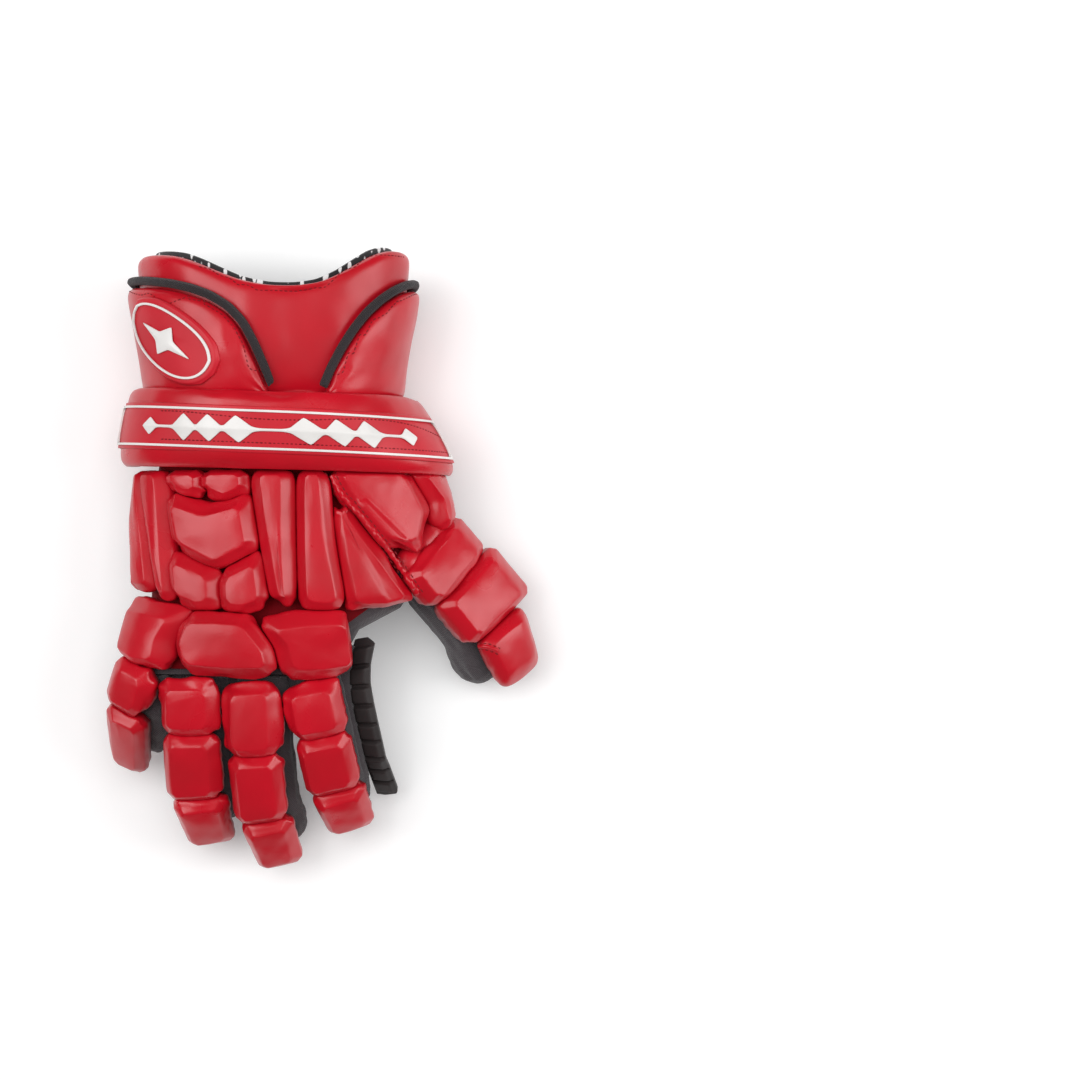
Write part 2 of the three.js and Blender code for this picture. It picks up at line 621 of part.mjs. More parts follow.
// The ring where a finger's stall starts, square to the glove.
function stallBase(finger, y, shrink) {
  const tilt = rad(finger.roll);
  return stallRing(STALL_SIDES, finger.across - shrink, finger.up - shrink).map(([across, up]) => {
    const x = finger.x + across * Math.cos(tilt) + up * Math.sin(tilt);
    return vec(x, y, finger.z + up * Math.cos(tilt) - across * Math.sin(tilt));
  });
}

// The height of a stall's top over its axis at this distance across.
function stallTop(finger, across) {
  const share = clamp(Math.abs(across) / finger.across, 0, 0.9);
  return finger.up * (1 - share ** STALL_SQUARENESS) ** (1 / STALL_SQUARENESS);
}

// A pad over bone k, from start to end in mm along it. taper narrows its far end, narrow both its sides.
function bonePad(finger, frames, k, { bevels, thickness, start, end, taper, narrow = 0, aside = 0 }) {
  const half = finger.padHalf - narrow;
  const shift = finger.offset + aside;
  const middle = (start + end) / 2;
  const waist = (1 + taper) / 2;
  const outline = [
    [shift - half, start], [shift, start], [shift + half, start], [shift + half * waist, middle],
    [shift + half * taper, end], [shift, end], [shift - half * taper, end], [shift - half * waist, middle],
  ];
  const seat = PIECE_GAP + SEAT_SHARE * finger.across;
  return padSolid(outline, bevels, thickness, (across, along, height) => {
    const top = finger.up + seat + thickness;
    const share = along / frames[k].length;
    let low = stallTop(finger, across) + seat;
    while (low < top - 3 && isInBody(bonePoint(frames, k, share, across, low), padSeat)) low += 0.25;
    const p = bonePoint(frames, k, share, across, lerp(low, top, height / thickness));
    p.z = Math.max(p.z, 0);
    return p;
  });
}

// The pads on the back of the hand. An outline is in millimetres, or degrees made millimetres by ARC.
const backY = (share) => BACK_TOP - share * BACK_LENGTH;
function backOutline(pad, across) {
  const middle = (a, b) => (a + b) / 2;
  const [leftTop, leftMiddle, leftBottom] = pad.left.map(across);
  const [rightTop, rightMiddle, rightBottom] = pad.right.map(across);
  const top = pad.top.map(backY);
  const bottom = pad.bottom.map(backY);
  return [
    [leftTop, top[0]], [middle(leftTop, rightTop), top[1]], [rightTop, top[2]],
    [rightMiddle, middle(top[2], bottom[2])],
    [rightBottom, bottom[2]], [middle(leftBottom, rightBottom), bottom[1]], [leftBottom, bottom[0]],
    [leftMiddle, middle(top[0], bottom[0])],
  ];
}

// The thumb's tube, hollow or solid, and the body without its hollow, for the cuts where they meet
const thumbFrames = boneFrames(THUMB, vec(THUMB.x, THUMB.y, THUMB.z));
function thumbSolid(shrink, reach) {
  const [frame] = thumbFrames;
  const ring = stallRing(STALL_SIDES, THUMB.across - shrink, THUMB.up - shrink);
  const base = ring.map(([across, up]) => bonePoint([frame], 0, -reach / frame.length, across, up));
  return toSolid(ringSolid([base, ...stallRings(THUMB, thumbFrames, shrink)]));
}
const turnsRound = steps(0, 360, 24).slice(0, 24);
const bodyRing = (y, rise, floor) => turnsRound.map((turn) => bodyPoint(turn, y, rise, floor));
const shellRows = steps(FINGER_START, ROLL_Y - PIECE_GAP / 2, 11);
const bodySolid = (rows, rise, floor) => toSolid(ringSolid(rows.map((y) => bodyRing(y, rise, floor))));

const bodyGrown = bodySolid(shellRows, PIECE_GAP, 0);
const hollowRows = [FINGER_START + SHELL_WALL, ...shellRows.slice(1, -1), ROLL_Y + 1];
let shell = bodySolid(shellRows, 0, 0).subtract(bodySolid(hollowRows, -SHELL_WALL, SHELL_WALL));
shell = shell.subtract(thumbSolid(STALL_WALL, 14));
for (const finger of FINGERS) {
  const ends = [FINGER_START - 1, FINGER_START + SHELL_WALL + 6];
  shell = shell.subtract(toSolid(ringSolid(ends.map((y) => stallBase(finger, y, STALL_WALL + 0.4)))));
}
// The shell's side seams part it into the back of the hand and the palm.
const sideOf = (from, to) => toSolid(ringSolid(steps(FINGER_START - 5, ROLL_Y + 5, 11).map((y) => {
  const [low, high] = [from, to].map((share) => sectionAt(y).midZ + share);
  return [[-1, low], [1, low], [1, high], [-1, high]].map(([side, z]) => vec(side * GLOVE_LENGTH, y, z));
})));
const addShell = (name, from, to) => {
  const bodies = shell.intersect(sideOf(from, to)).decompose();
  const largest = bodies.reduce((a, b) => (b.volume() > a.volume() ? b : a));
  addPiece(name, toGeometry(largest), "fabric");
};
addShell("back_shell", PIECE_GAP / 2, BODY_HEIGHT);
addShell("palm_shell", -BODY_HEIGHT, -PIECE_GAP / 2);
const thumbStall = thumbSolid(0, 0).subtract(thumbSolid(STALL_WALL, 14)).subtract(bodyGrown);
addPiece("thumb_stall", toGeometry(thumbStall), "fabric");

for (const pad of BACK_PADS) {
  const outline = backOutline(pad, (share) => BACK_LEFT + share * BACK_WIDTH);
  const place = (x, y, height) => bodyPoint(turnOf(x, y), y, padSeat + height);
  addPiece(pad.name, padSolid(outline, pad.bevel, pad.rise, place), "leather");
}
for (const pad of SIDE_PADS) {
  const outline = backOutline(pad, (turn) => turn * ARC);
  const place = (along, y, height) => bodyPoint(along / ARC, y, padSeat + height);
  addPiece(pad.name, padSolid(outline, pad.bevel, pad.rise, place), "leather");
}

// Finger stalls and pads
for (const finger of FINGERS) {
  const y = FINGER_START - PIECE_GAP;
  const frames = boneFrames(finger, vec(finger.x, y, finger.z));
  const outer = [stallBase(finger, y, 0), ...stallRings(finger, frames, 0)];
  const inner = [stallBase(finger, y, STALL_WALL), ...stallRings(finger, frames, STALL_WALL)];
  addPiece(`${finger.name}_stall`, ringSolid([...inner.reverse(), ...outer]), "fabric");
  finger.bones.forEach((bone, k) => {
    const isLast = k === finger.bones.length - 1;
    const pad = bonePad(finger, frames, k, {
      bevels: [...finger.bevel, 4, isLast ? 5.5 : 3.5],
      thickness: FINGER_PAD_THICKNESS,
      start: k === 0 ? finger.padStart : 0,
      end: bone.length,
      taper: isLast ? 0.86 : 1,
    });
    addPiece(`${finger.name}_block_${k + 1}`, pad, "leather");
  });
  finger.frames = frames;
}

// Thumb pads
for (const { name, bone, bevel, end, taper, narrow, shift } of THUMB_PADS) {
  const length = thumbFrames[bone].length;
  const pad = bonePad(THUMB, thumbFrames, bone, {
    bevels: bevel,
    thickness: THUMB_PAD_THICKNESS,
    start: 0,
    end: end * length,
    taper,
    narrow,
    aside: shift,
  });
  addPiece(name, pad, "leather");
}

// The cuff's lining, from the shell to just past the back panel's edge
const CUFF_STATIONS = [104, 130];
const panelEdge = (turn) => column(PANEL_EDGE, "y", turn) * GLOVE_LENGTH;
const liningEdge = (turn) => {
  const bent = turn > 180 ? turn - 360 : turn;
  const back = panelEdge(clamp(bent, -104, 104)) + LINING_SHOW;
  return Math.abs(bent) > 104 ? lerp(back, PALM_EDGE_Y, clamp((Math.abs(bent) - 104) / 40, 0, 1)) : back;
};
const liningBottom = ROLL_Y + PIECE_GAP / 2;
const lining = bandSolid(steps(0, 360, 36).slice(0, 36), (turn) => {
  const top = liningEdge(turn);
  const outside = [liningBottom, CUFF_BOTTOM, ...CUFF_STATIONS, top];
  return [...outside.map((y) => [y, 0, 0]), ...outside.reverse().map((y) => [y, -LINING_WALL, LINING_WALL])];
}, true);
addPiece("cuff_lining", lining, "fabric");

// A panel of the cuff between two heights over the body, rounded along its edge
function cuffPanel(turns, edge, seat, thicknessAt) {
  return bandSolid(turns, (turn) => {
    const top = edge(turn);
    const low = seat(turn);
    const high = low + thicknessAt(turn);
    const round = Math.min(2.6, (high - low) * 0.45, (top - CUFF_BOTTOM) * 0.4);
    const stations = [0.33, 0.66].map((share) => lerp(CUFF_BOTTOM, top - round, share));
    return [
      [CUFF_BOTTOM, low], ...stations.map((y) => [y, low]), [top - round * 0.4, low], [top, low + round],
      [top, high - round], [top - round, high],
      ...stations.reverse().map((y) => [y, high]), [CUFF_BOTTOM, high],
    ];
  });
}
const panelTurns = [-104, ...steps(-100, 100, 20), 104];
const backThickness = (turn) => {
  const beyond = Math.abs(turn) - 84;
  const thinned = lerp(BACK_PANEL_THICKNESS, BACK_PANEL_EDGE, clamp(beyond / 20, 0, 1));
  return thinned - clamp((beyond - 24) / 8, 0, 1) * 3;
};
addPiece("cuff_back_panel", cuffPanel(panelTurns, panelEdge, () => PANEL_SEAT, backThickness), "leather");

const flapSeat = (turn) => PANEL_SEAT + backThickness(turn) + 3 * PIECE_GAP;
const flapThickness = (ends) => (turn) => {
  const fromEnd = Math.min(Math.abs(turn - ends[0]), Math.abs(turn - ends[1]));
  return FLAP_THICKNESS * Math.min(1, 0.72 + fromEnd / 40);
};
function addFlap(name, table) {
  const ends = [table[0].along, table[table.length - 1].along];
  const turns = table.map(({ along }) => along);
  const edge = (turn) => column(table, "y", turn) * GLOVE_LENGTH;
  addPiece(`cuff_flap_${name}`, cuffPanel(turns, edge, flapSeat, flapThickness(ends)), "leather");
  addPiece(`piping_${name}`, pipingAlong(turns, edge), "fabric");
}

// A round binding just past a flap's edge
function pipingAlong(turns, edge) {
  const middle = (turn) => flapSeat(turn) + FLAP_THICKNESS * 0.5;
  const at = (turn) => bodyPoint(turn, edge(turn), middle(turn));
  return ringSolid(turns.map((turn) => {
    const ahead = at(turn + 0.5).sub(at(turn - 0.5)).normalize();
    const up = bodyPoint(turn, edge(turn), middle(turn) + 1).sub(at(turn)).normalize();
    const out = up.clone().cross(ahead).normalize();
    const centre = at(turn).addScaledVector(out, -Math.sign(out.y) * -(PIPING_RADIUS + PIECE_GAP + 0.3));
    return steps(0, 360, 7).slice(0, 7).map((angle) => {
      const along = out.clone().multiplyScalar(Math.cos(rad(angle)) * PIPING_RADIUS);
      return centre.clone().add(along).addScaledVector(up, Math.sin(rad(angle)) * PIPING_RADIUS * 1.25);
    });
  }));
}
addFlap("outer", OUTER_FLAP_EDGE);
addFlap("inner", INNER_FLAP_EDGE);

// The wrist roll
const rollTurns = [-ROLL_ENDS, -108, ...steps(-100, 100, 20), 108, ROLL_ENDS];
const rollY = (turn) => ROLL_Y - ROLL_TILT * Math.sin(rad(turn));
const roll = bandSolid(rollTurns, (turn) => {
  const nearEnd = clamp((ROLL_ENDS - Math.abs(turn)) / 12, 0, 1);
  const fullness = Math.sqrt(1 - (1 - nearEnd) ** 2 * 0.45);
  return ROLL_PROFILE.map(({ along, rise }) => {
    const height = rise > 0.1 ? lerp(0.72, 1, fullness) : 1;
    return [rollY(turn) - along * ROLL_HALF_LENGTH * lerp(0.85, 1, fullness), ROLL_RISE * rise * height];
  });
});
addPiece("wrist_roll", roll, "leather");

// The plate on the roll, its white line and its row of lozenges
const plateSeat = (turn, offset) => {
  const share = Math.abs(offset) / ROLL_HALF_LENGTH;
  return ROLL_RISE * lerp(1.12, 1.1, clamp(share / 0.62, 0, 1)) + PIECE_GAP;
};
const plateY = (turn, offset) => rollY(turn) - 1.4 * Math.sin(rad(turn)) + offset;
const plateTurns = [-PLATE_ENDS, ...steps(-80, 80, 16), PLATE_ENDS];
const plate = bandSolid(plateTurns, (turn) => {
  const spots = [1, 0, -1].map((side) => side * PLATE_HALF_WIDTH);
  const low = spots.map((offset) => [plateY(turn, offset), plateSeat(turn, offset)]);
  const over = (offset) => [plateY(turn, offset * 0.97), plateSeat(turn, offset) + PLATE_THICKNESS];
  const high = spots.reverse().map(over);
  return [...low, ...high];
});
addPiece("roll_plate", plate, "red_rubber");

const onPlate = (turn, offset, height) =>
  bodyPoint(turn, plateY(turn, offset), plateSeat(turn, offset) + PLATE_THICKNESS + PIECE_GAP * 0.6 + height);
const lineHalf = PLATE_HALF_WIDTH - 2;
const lineEnd = 80;
const lineTurns = steps(-lineEnd, lineEnd, 16);
const lineStops = [
  ...lineTurns.map((turn) => ({ turn, offset: lineHalf })),
  { turn: lineEnd, offset: 0 },
  ...[...lineTurns].reverse().map((turn) => ({ turn, offset: -lineHalf })),
  { turn: -lineEnd, offset: 0 },
];
const line = ringSolid(lineStops.map(({ turn, offset }) => {
  const held = lineEnd - (Math.abs(turn) > lineEnd - 1 ? 1.2 : 0);
  const inTurn = Math.sign(turn) * Math.min(Math.abs(turn), held);
  const inOffset = offset - Math.sign(offset) * LINE_WIDTH;
  return [
    onPlate(turn, offset, 0), onPlate(turn, offset, LINE_HEIGHT),
    onPlate(inTurn, inOffset, LINE_HEIGHT), onPlate(inTurn, inOffset, 0),
  ];
}), { loop: true });
addPiece("plate_border", line, "white_rubber");

const motif = ringSolid(MOTIF.map(({ turn, reach }) => {
  const ridge = 0.8 + reach * 0.16;
  return [
    onPlate(turn, reach, 0), onPlate(turn, 0, 0), onPlate(turn, -reach, 0),
    onPlate(turn, -reach, 0.5), onPlate(turn, 0, ridge), onPlate(turn, reach, 0.5),
  ];
}));
addPiece("plate_motif", motif, "white_rubber");

// The oval patch on the outer flap, its ring and its lozenge
const patchSeat = flapSeat(0) + FLAP_THICKNESS + PIECE_GAP;
const patchPoint = (along, across, height) => {
  const tilt = rad(PATCH_TILT);
  const u = along * Math.cos(tilt) + across * Math.sin(tilt);
  const v = across * Math.cos(tilt) - along * Math.sin(tilt);
  return bodyPoint(PATCH_TURN + u / PATCH_ARC, PATCH_Y + v, patchSeat + height);
};
const oval = (count, size) =>
  steps(0, 360, count).slice(0, count).map((turn) => [
    (PATCH_LENGTH / 2 - size) * square(Math.cos(rad(turn)), 2.2),
    (PATCH_WIDTH / 2 - size) * square(Math.sin(rad(turn)), 2.2),
  ]);
const PATCH_RINGS = [
  { size: 0.33, inset: 0, height: 0 }, { size: 0.67, inset: 0, height: 0 }, { size: 1, inset: 0, height: 0 },
  { size: 1, inset: 0, height: 0.65 }, { size: 1, inset: 1, height: 1 },
  { size: 0.67, inset: 0, height: 1 }, { size: 0.33, inset: 0, height: 1 },
];
const patch = ringSolid(PATCH_RINGS.map(({ size, inset, height }) =>
  oval(16, inset).map(([a, b]) => patchPoint(a * size, b * size, height * PATCH_THICKNESS))));
addPiece("side_patch", patch, "red_rubber");

const patchTop = PATCH_THICKNESS + PIECE_GAP * 0.6;
const patchLine = ringSolid(oval(20, 3.2).map((outer, i) => {
  const inner = oval(20, 3.2 + LINE_WIDTH)[i];
  return [
    patchPoint(...outer, patchTop), patchPoint(...outer, patchTop + LINE_HEIGHT),
    patchPoint(...inner, patchTop + LINE_HEIGHT), patchPoint(...inner, patchTop),
  ];
}), { loop: true });
addPiece("patch_border", patchLine, "white_rubber");

const star = steps(0, 360, 8).slice(0, 8).map((turn, i) => {
  const reach = i % 2 ? [6.2, 3.6] : [16.5, 8.6];
  return [reach[0] * Math.cos(rad(turn)), reach[1] * Math.sin(rad(turn))];
});
const patchMotif = ringSolid([[0.5, 0], [1, 0], [1, 0.6], [0.5, 1.3]].map(([size, height]) =>
  star.map(([a, b]) => patchPoint(a * size, b * size, patchTop + PIECE_GAP + height))));
addPiece("patch_motif", patchMotif, "white_rubber");

// The ribbed rubber guard beside the index finger
const index = FINGERS[FINGERS.length - 1];
function alongFinger(distance, across, up) {
  let k = 0;
  let from = 0;
  while (k < index.frames.length - 1 && distance > from + index.frames[k].length) {
    from += index.frames[k].length;
    k++;
  }
  return bonePoint(index.frames, k, (distance - from) / index.frames[k].length, across, up);
}
const guardEnds = [GUARD_EDGE[0].along, GUARD_EDGE[GUARD_EDGE.length - 1].along];
const ribPitch = (guardEnds[1] - guardEnds[0] - 8) / GUARD_RIBS;
const guardStops = [{ at: guardEnds[0], rib: 0, size: 0.55 }, { at: guardEnds[0] + 3, rib: 0, size: 0.92 }];
for (let i = 0; i < GUARD_RIBS; i++) {
  const at = guardEnds[0] + 4 + i * ribPitch;
  guardStops.push({ at, rib: 0, size: 1 }, { at: at + 1, rib: 1, size: 1 });
  guardStops.push({ at: at + ribPitch - 2, rib: 1, size: 1 }, { at: at + ribPitch - 1, rib: 0, size: 1 });
}
guardStops.push({ at: guardEnds[1] - 2, rib: 0, size: 0.9 }, { at: guardEnds[1], rib: 0, size: 0.5 });
const guard = ringSolid(guardStops.map(({ at, rib, size }) => {
  const inner = index.across + column(GUARD_EDGE, "out", at);
  const tilt = rad(GUARD_TILT);
  const spot = (out, up) =>
    alongFinger(
      at, inner + out * Math.cos(tilt) - up * Math.sin(tilt), out * Math.sin(tilt) + up * Math.cos(tilt) - 3,
    );
  const wide = GUARD_WIDTH * size;
  const low = GUARD_THICKNESS;
  const high = low + rib * GUARD_RIB_HEIGHT;
  return [
    spot(0, 0), spot(0, low), spot(3, high), spot(wide - 2, high), spot(wide, low * 0.9), spot(wide - 0.8, 0),
  ];
}));
addPiece("index_guard", guard, "rubber");

// The leather sheet the back's pads are sewn to. Its columns lie over the shell's as far as its own edge.
const coverRows = [FINGER_START + 3, ...shellRows.slice(1, -2), ROLL_Y - 17.5];
const cover = ringSolid(coverRows.map((y) => {
  const end = turnOf(column(COVER_EDGE, "x", -y), y);
  const turns = steps(COVER_LEFT, 75, 11).map((turn, i) => Math.min(turn, end - 0.4 * (11 - i)));
  const skin = (rise) => turns.map((turn) => bodyPoint(turn, y, rise));
  return [...skin(COVER_SEAT), ...skin(COVER_SEAT + COVER_THICKNESS).reverse()];
}));
addPiece("back_cover", cover, "leather");

// The origin is the middle of the box's underside.
const box = new THREE.Box3().setFromObject(root);
const middle = box.getCenter(vec(0, 0, 0));
for (const mesh of root.children) mesh.geometry.translate(-middle.x, -middle.y, -box.min.z);

export default root;
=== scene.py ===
"""A right-hand lacrosse glove lying palm down on a pale floor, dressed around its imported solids."""

import logging
import math
from dataclasses import dataclass, field
from enum import Enum
from typing import Sequence

import bmesh
import bpy
import numpy as np
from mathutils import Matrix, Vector
from mathutils.bvhtree import BVHTree


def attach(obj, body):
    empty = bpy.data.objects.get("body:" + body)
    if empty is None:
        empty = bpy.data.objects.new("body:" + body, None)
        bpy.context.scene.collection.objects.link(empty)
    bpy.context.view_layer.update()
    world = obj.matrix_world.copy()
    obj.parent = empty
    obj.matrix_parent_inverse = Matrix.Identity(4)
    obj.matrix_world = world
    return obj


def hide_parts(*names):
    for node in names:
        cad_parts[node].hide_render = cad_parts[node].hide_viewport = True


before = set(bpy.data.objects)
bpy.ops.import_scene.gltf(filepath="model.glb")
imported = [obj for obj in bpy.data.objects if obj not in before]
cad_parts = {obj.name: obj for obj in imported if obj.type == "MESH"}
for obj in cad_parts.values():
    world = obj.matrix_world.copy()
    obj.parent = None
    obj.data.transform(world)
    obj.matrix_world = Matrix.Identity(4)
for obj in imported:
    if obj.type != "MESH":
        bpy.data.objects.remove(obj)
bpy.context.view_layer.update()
logging.basicConfig(level=logging.INFO, format="%(name)s: %(message)s")
log = logging.getLogger("glove")

MM = 0.001
BODY = "root"
TINY = 1e-9
MERGE_DISTANCE = 0.00001
QUAD_FACE_ANGLE = 30
QUAD_SHAPE_ANGLE = 60
Colour = tuple[float, float, float]
Pair = tuple[float, float]
Line = Sequence[Pair]
Points = np.ndarray


class Slot(Enum):
    """The record's material slots."""

    RED_LEATHER = "red_leather"
    MESH_FABRIC = "mesh_fabric"
    LINING_FABRIC = "lining_fabric"
    BLACK_RUBBER = "black_rubber"
    RED_RUBBER = "red_rubber"
    WHITE_RUBBER = "white_rubber"


class Edges(Enum):
    """How crisp a piece's edges stay when it is smoothed."""

    SOFT = 0.0
    FIRM = 0.45
    CRISP = 0.9


# Mesh tools


def coordinates(mesh: bpy.types.Mesh) -> Points:
    """The mesh's vertices.

    Args:
        mesh: any mesh.

    Returns:
        An array of one row for each vertex, in metres.
    """
    flat = np.empty(len(mesh.vertices) * 3)
    mesh.vertices.foreach_get("co", flat)
    return flat.reshape(-1, 3)


def normals(mesh: bpy.types.Mesh) -> Points:
    """The mesh's vertex normals.

    Args:
        mesh: any mesh.

    Returns:
        An array of one row for each vertex, each of length one.
    """
    flat = np.empty(len(mesh.vertices) * 3)
    mesh.vertex_normals.foreach_get("vector", flat)
    return flat.reshape(-1, 3)


def put_coordinates(mesh: bpy.types.Mesh, points: Points) -> None:
    """Moves the mesh's vertices.

    Args:
        mesh: the mesh to change.
        points: the new place of each vertex, in metres.
    """
    mesh.vertices.foreach_set("co", points.ravel())
    mesh.update()


def put_attribute(mesh: bpy.types.Mesh, name: str, values: Points) -> None:
    """Stores one number for each vertex.

    Args:
        mesh: the mesh that gets the attribute.
        name: the attribute's name, as a material reads it.
        values: one value for each vertex.
    """
    layer = mesh.attributes.get(name) or mesh.attributes.new(name, "FLOAT", "POINT")
    layer.data.foreach_set("value", values.astype(np.float32))


def make_object(name: str, mesh: bpy.types.Mesh) -> bpy.types.Object:
    """Links a new object at the origin.

    Args:
        name: the object's name.
        mesh: what it holds.

    Returns:
        The new object.
    """
    piece = bpy.data.objects.new(name, mesh)
    bpy.context.scene.collection.objects.link(piece)
    return piece


def smoothstep(low: float, high: float, values: Points) -> Points:
    """Rises from 0 to 1 between two values, level at both ends.

    Args:
        low: where the rise starts.
        high: where it ends.
        values: where to read it.

    Returns:
        A share for each value.
    """
    share = np.clip((values - low) / (high - low), 0.0, 1.0)
    return share * share * (3.0 - 2.0 * share)


def merged_copy(node: str, name: str, edges: Edges, crease_angle: float = 38.0) -> bpy.types.Object:
    """Copies a solid of the frame into a closed mesh of quads.

    Args:
        node: the solid's name.
        name: the new object's name.
        edges: how crisp its sharp edges stay.
        crease_angle: the bend, in degrees, from which an edge counts as sharp.

    Returns:
        The new object. The solid itself isn't touched.
    """
    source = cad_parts[node].data
    mesh = bpy.data.meshes.new(name)
    mesh.from_pydata([v.co[:] for v in source.vertices], [], [p.vertices[:] for p in source.polygons])
    solid = bmesh.new()
    solid.from_mesh(mesh)
    bmesh.ops.remove_doubles(solid, verts=solid.verts, dist=MERGE_DISTANCE)
    bmesh.ops.join_triangles(
        solid,
        faces=solid.faces,
        angle_face_threshold=math.radians(QUAD_FACE_ANGLE),
        angle_shape_threshold=math.radians(QUAD_SHAPE_ANGLE),
    )
    solid.to_mesh(mesh)
    solid.free()
    piece = make_object(name, mesh)
    mark_creases(piece, crease_angle, edges.value)
    return piece


def mark_creases(piece: bpy.types.Object, angle: float, value: float) -> None:
    """Marks the sharp edges of a piece, so that rounding keeps them this crisp.

    Args:
        piece: the object whose mesh is marked.
        angle: the bend, in degrees, from which an edge is sharp.
        value: how crisp it stays, from 0 to 1.
    """
    solid = bmesh.new()
    solid.from_mesh(piece.data)
    crease = solid.edges.layers.float.get("crease_edge") or solid.edges.layers.float.new("crease_edge")
    for edge in solid.edges:
        sharp = len(edge.link_faces) == 2 and edge.calc_face_angle() > math.radians(angle)
        edge[crease] = value if sharp else 0.0
    solid.to_mesh(piece.data)
    solid.free()


def bake_modifiers(piece: bpy.types.Object) -> None:
    """Turns what the piece's modifiers make into its plain mesh, and removes them.

    Args:
        piece: the object to bake.
    """
    graph = bpy.context.evaluated_depsgraph_get()
    mesh = bpy.data.meshes.new_from_object(piece.evaluated_get(graph))
    old = piece.data
    piece.modifiers.clear()
    piece.data = mesh
    mesh.name = piece.name
    bpy.data.meshes.remove(old)


def divide(piece: bpy.types.Object, levels: int, rounded: bool) -> None:
    """Splits each face into four, this many times.

    Args:
        piece: the object whose mesh is divided.
        levels: how many times.
        rounded: whether the surface is smoothed too, or keeps its flats.
    """
    if levels < 1:
        return
    modifier = piece.modifiers.new("divide", "SUBSURF")
    modifier.subdivision_type = "CATMULL_CLARK" if rounded else "SIMPLE"
    modifier.levels = modifier.render_levels = levels
    bake_modifiers(piece)


class Neighbours:
    """Which vertices of a mesh an edge joins."""

    def __init__(self, mesh: bpy.types.Mesh) -> None:
        """Reads the mesh's edges.

        Args:
            mesh: any mesh.
        """
        ends = np.empty(len(mesh.edges) * 2, int)
        mesh.edges.foreach_get("vertices", ends)
        self.first, self.second = ends.reshape(-1, 2).T
        self.count = np.bincount(ends, minlength=len(mesh.vertices)).reshape(-1, 1)

    def average(self, values: Points) -> Points:
        """The average over each vertex's neighbours.

        Args:
            values: one row for each vertex.

        Returns:
            One row for each vertex.
        """
        total = np.zeros_like(values)
        np.add.at(total, self.first, values[self.second])
        np.add.at(total, self.second, values[self.first])
        return total / self.count


def relax(mesh: bpy.types.Mesh, rounds: int, share: float | Points = 0.5) -> None:
    """Moves each vertex towards the middle of its neighbours, which rounds the edges off.

    Args:
        mesh: the mesh to round.
        rounds: how many times.
        share: how far each time, for all vertices or for each.
    """
    near = Neighbours(mesh)
    points = coordinates(mesh)
    for _ in range(rounds):
        points += share * (near.average(points) - points)
    put_coordinates(mesh, points)


def tree_of(pieces: Sequence[bpy.types.Object]) -> BVHTree:
    """A search tree over the faces of several pieces.

    Args:
        pieces: the objects whose faces go in.

    Returns:
        The tree.
    """
    verts: list = []
    faces: list = []
    for piece in pieces:
        base = len(verts)
        verts += [v.co[:] for v in piece.data.vertices]
        faces += [[base + i for i in p.vertices] for p in piece.data.polygons]
    return BVHTree.FromPolygons(verts, faces)


def over_seat(mesh: bpy.types.Mesh, seat: BVHTree) -> tuple[Points, Points]:
    """How far each vertex stands off what carries the piece, and how much it faces away from it.

    Args:
        mesh: the piece's mesh.
        seat: the surfaces that carry it.

    Returns:
        Heights in metres, and a share from 0 on a side wall to 1 on a top.
    """
    points = coordinates(mesh)
    facing = normals(mesh)
    height = np.empty(len(points))
    away = np.empty_like(points)
    for i, point in enumerate(points):
        spot, _, _, distance = seat.find_nearest(Vector(point))
        height[i] = distance
        away[i] = (point - np.array(spot)) / max(distance, TINY)
    return height, np.clip((facing * away).sum(1), 0.0, 1.0)


@dataclass(frozen=True)
class Ripple:
    """An uneven field made of sine waves, for folds and wrinkles, with its lengths in metres."""

    wavelength: float
    height: float
    seed: int
    ridged: bool = False
    stretch: tuple[float, float, float] = (1.0, 1.0, 1.0)
    waves: int = 9

    def at(self, points: Points) -> Points:
        """The field's height.

        Args:
            points: where, in metres.

        Returns:
            One height for each point, in metres, from -height to height, or 0 to height where ridged.
        """
        chance = np.random.default_rng(self.seed)
        places = points * np.array(self.stretch)
        total = np.zeros(len(points))
        for _ in range(self.waves):
            way = chance.normal(size=3)
            way *= 2 * math.pi / (self.wavelength * chance.uniform(0.7, 1.5) * np.linalg.norm(way))
            total += np.sin(places @ way + chance.uniform(0, 2 * math.pi))
        total = np.clip(total / (0.5 * self.waves), -1.0, 1.0)
        return self.height * ((1.0 - np.abs(total)) ** 3 if self.ridged else total)


@dataclass(frozen=True)
class Plateau:
    """A part of a block's top that stands a little higher, inside straight sides.

    Its corners are in millimetres, its height and the width of its edge in metres.
    """

    corners: Line
    height: float
    edge: float = 0.0012

    def at(self, points: Points) -> Points:
        """How far each point is raised.

        Args:
            points: where, in metres.

        Returns:
            One height for each point, in metres.
        """
        corners = np.array(self.corners) * MM
        ahead = np.roll(corners, -1, axis=0) - corners
        out = np.stack([ahead[:, 1], -ahead[:, 0]], 1)
        out /= np.linalg.norm(out, axis=1).reshape(-1, 1)
        turned = np.sign(ahead[0, 0] * ahead[1, 1] - ahead[0, 1] * ahead[1, 0])
        beyond = turned * ((points[:, None, :2] - corners[None]) * out[None]).sum(2)
        return self.height * (1.0 - smoothstep(-self.edge, self.edge, beyond.max(1)))


# Shader groups and finishes


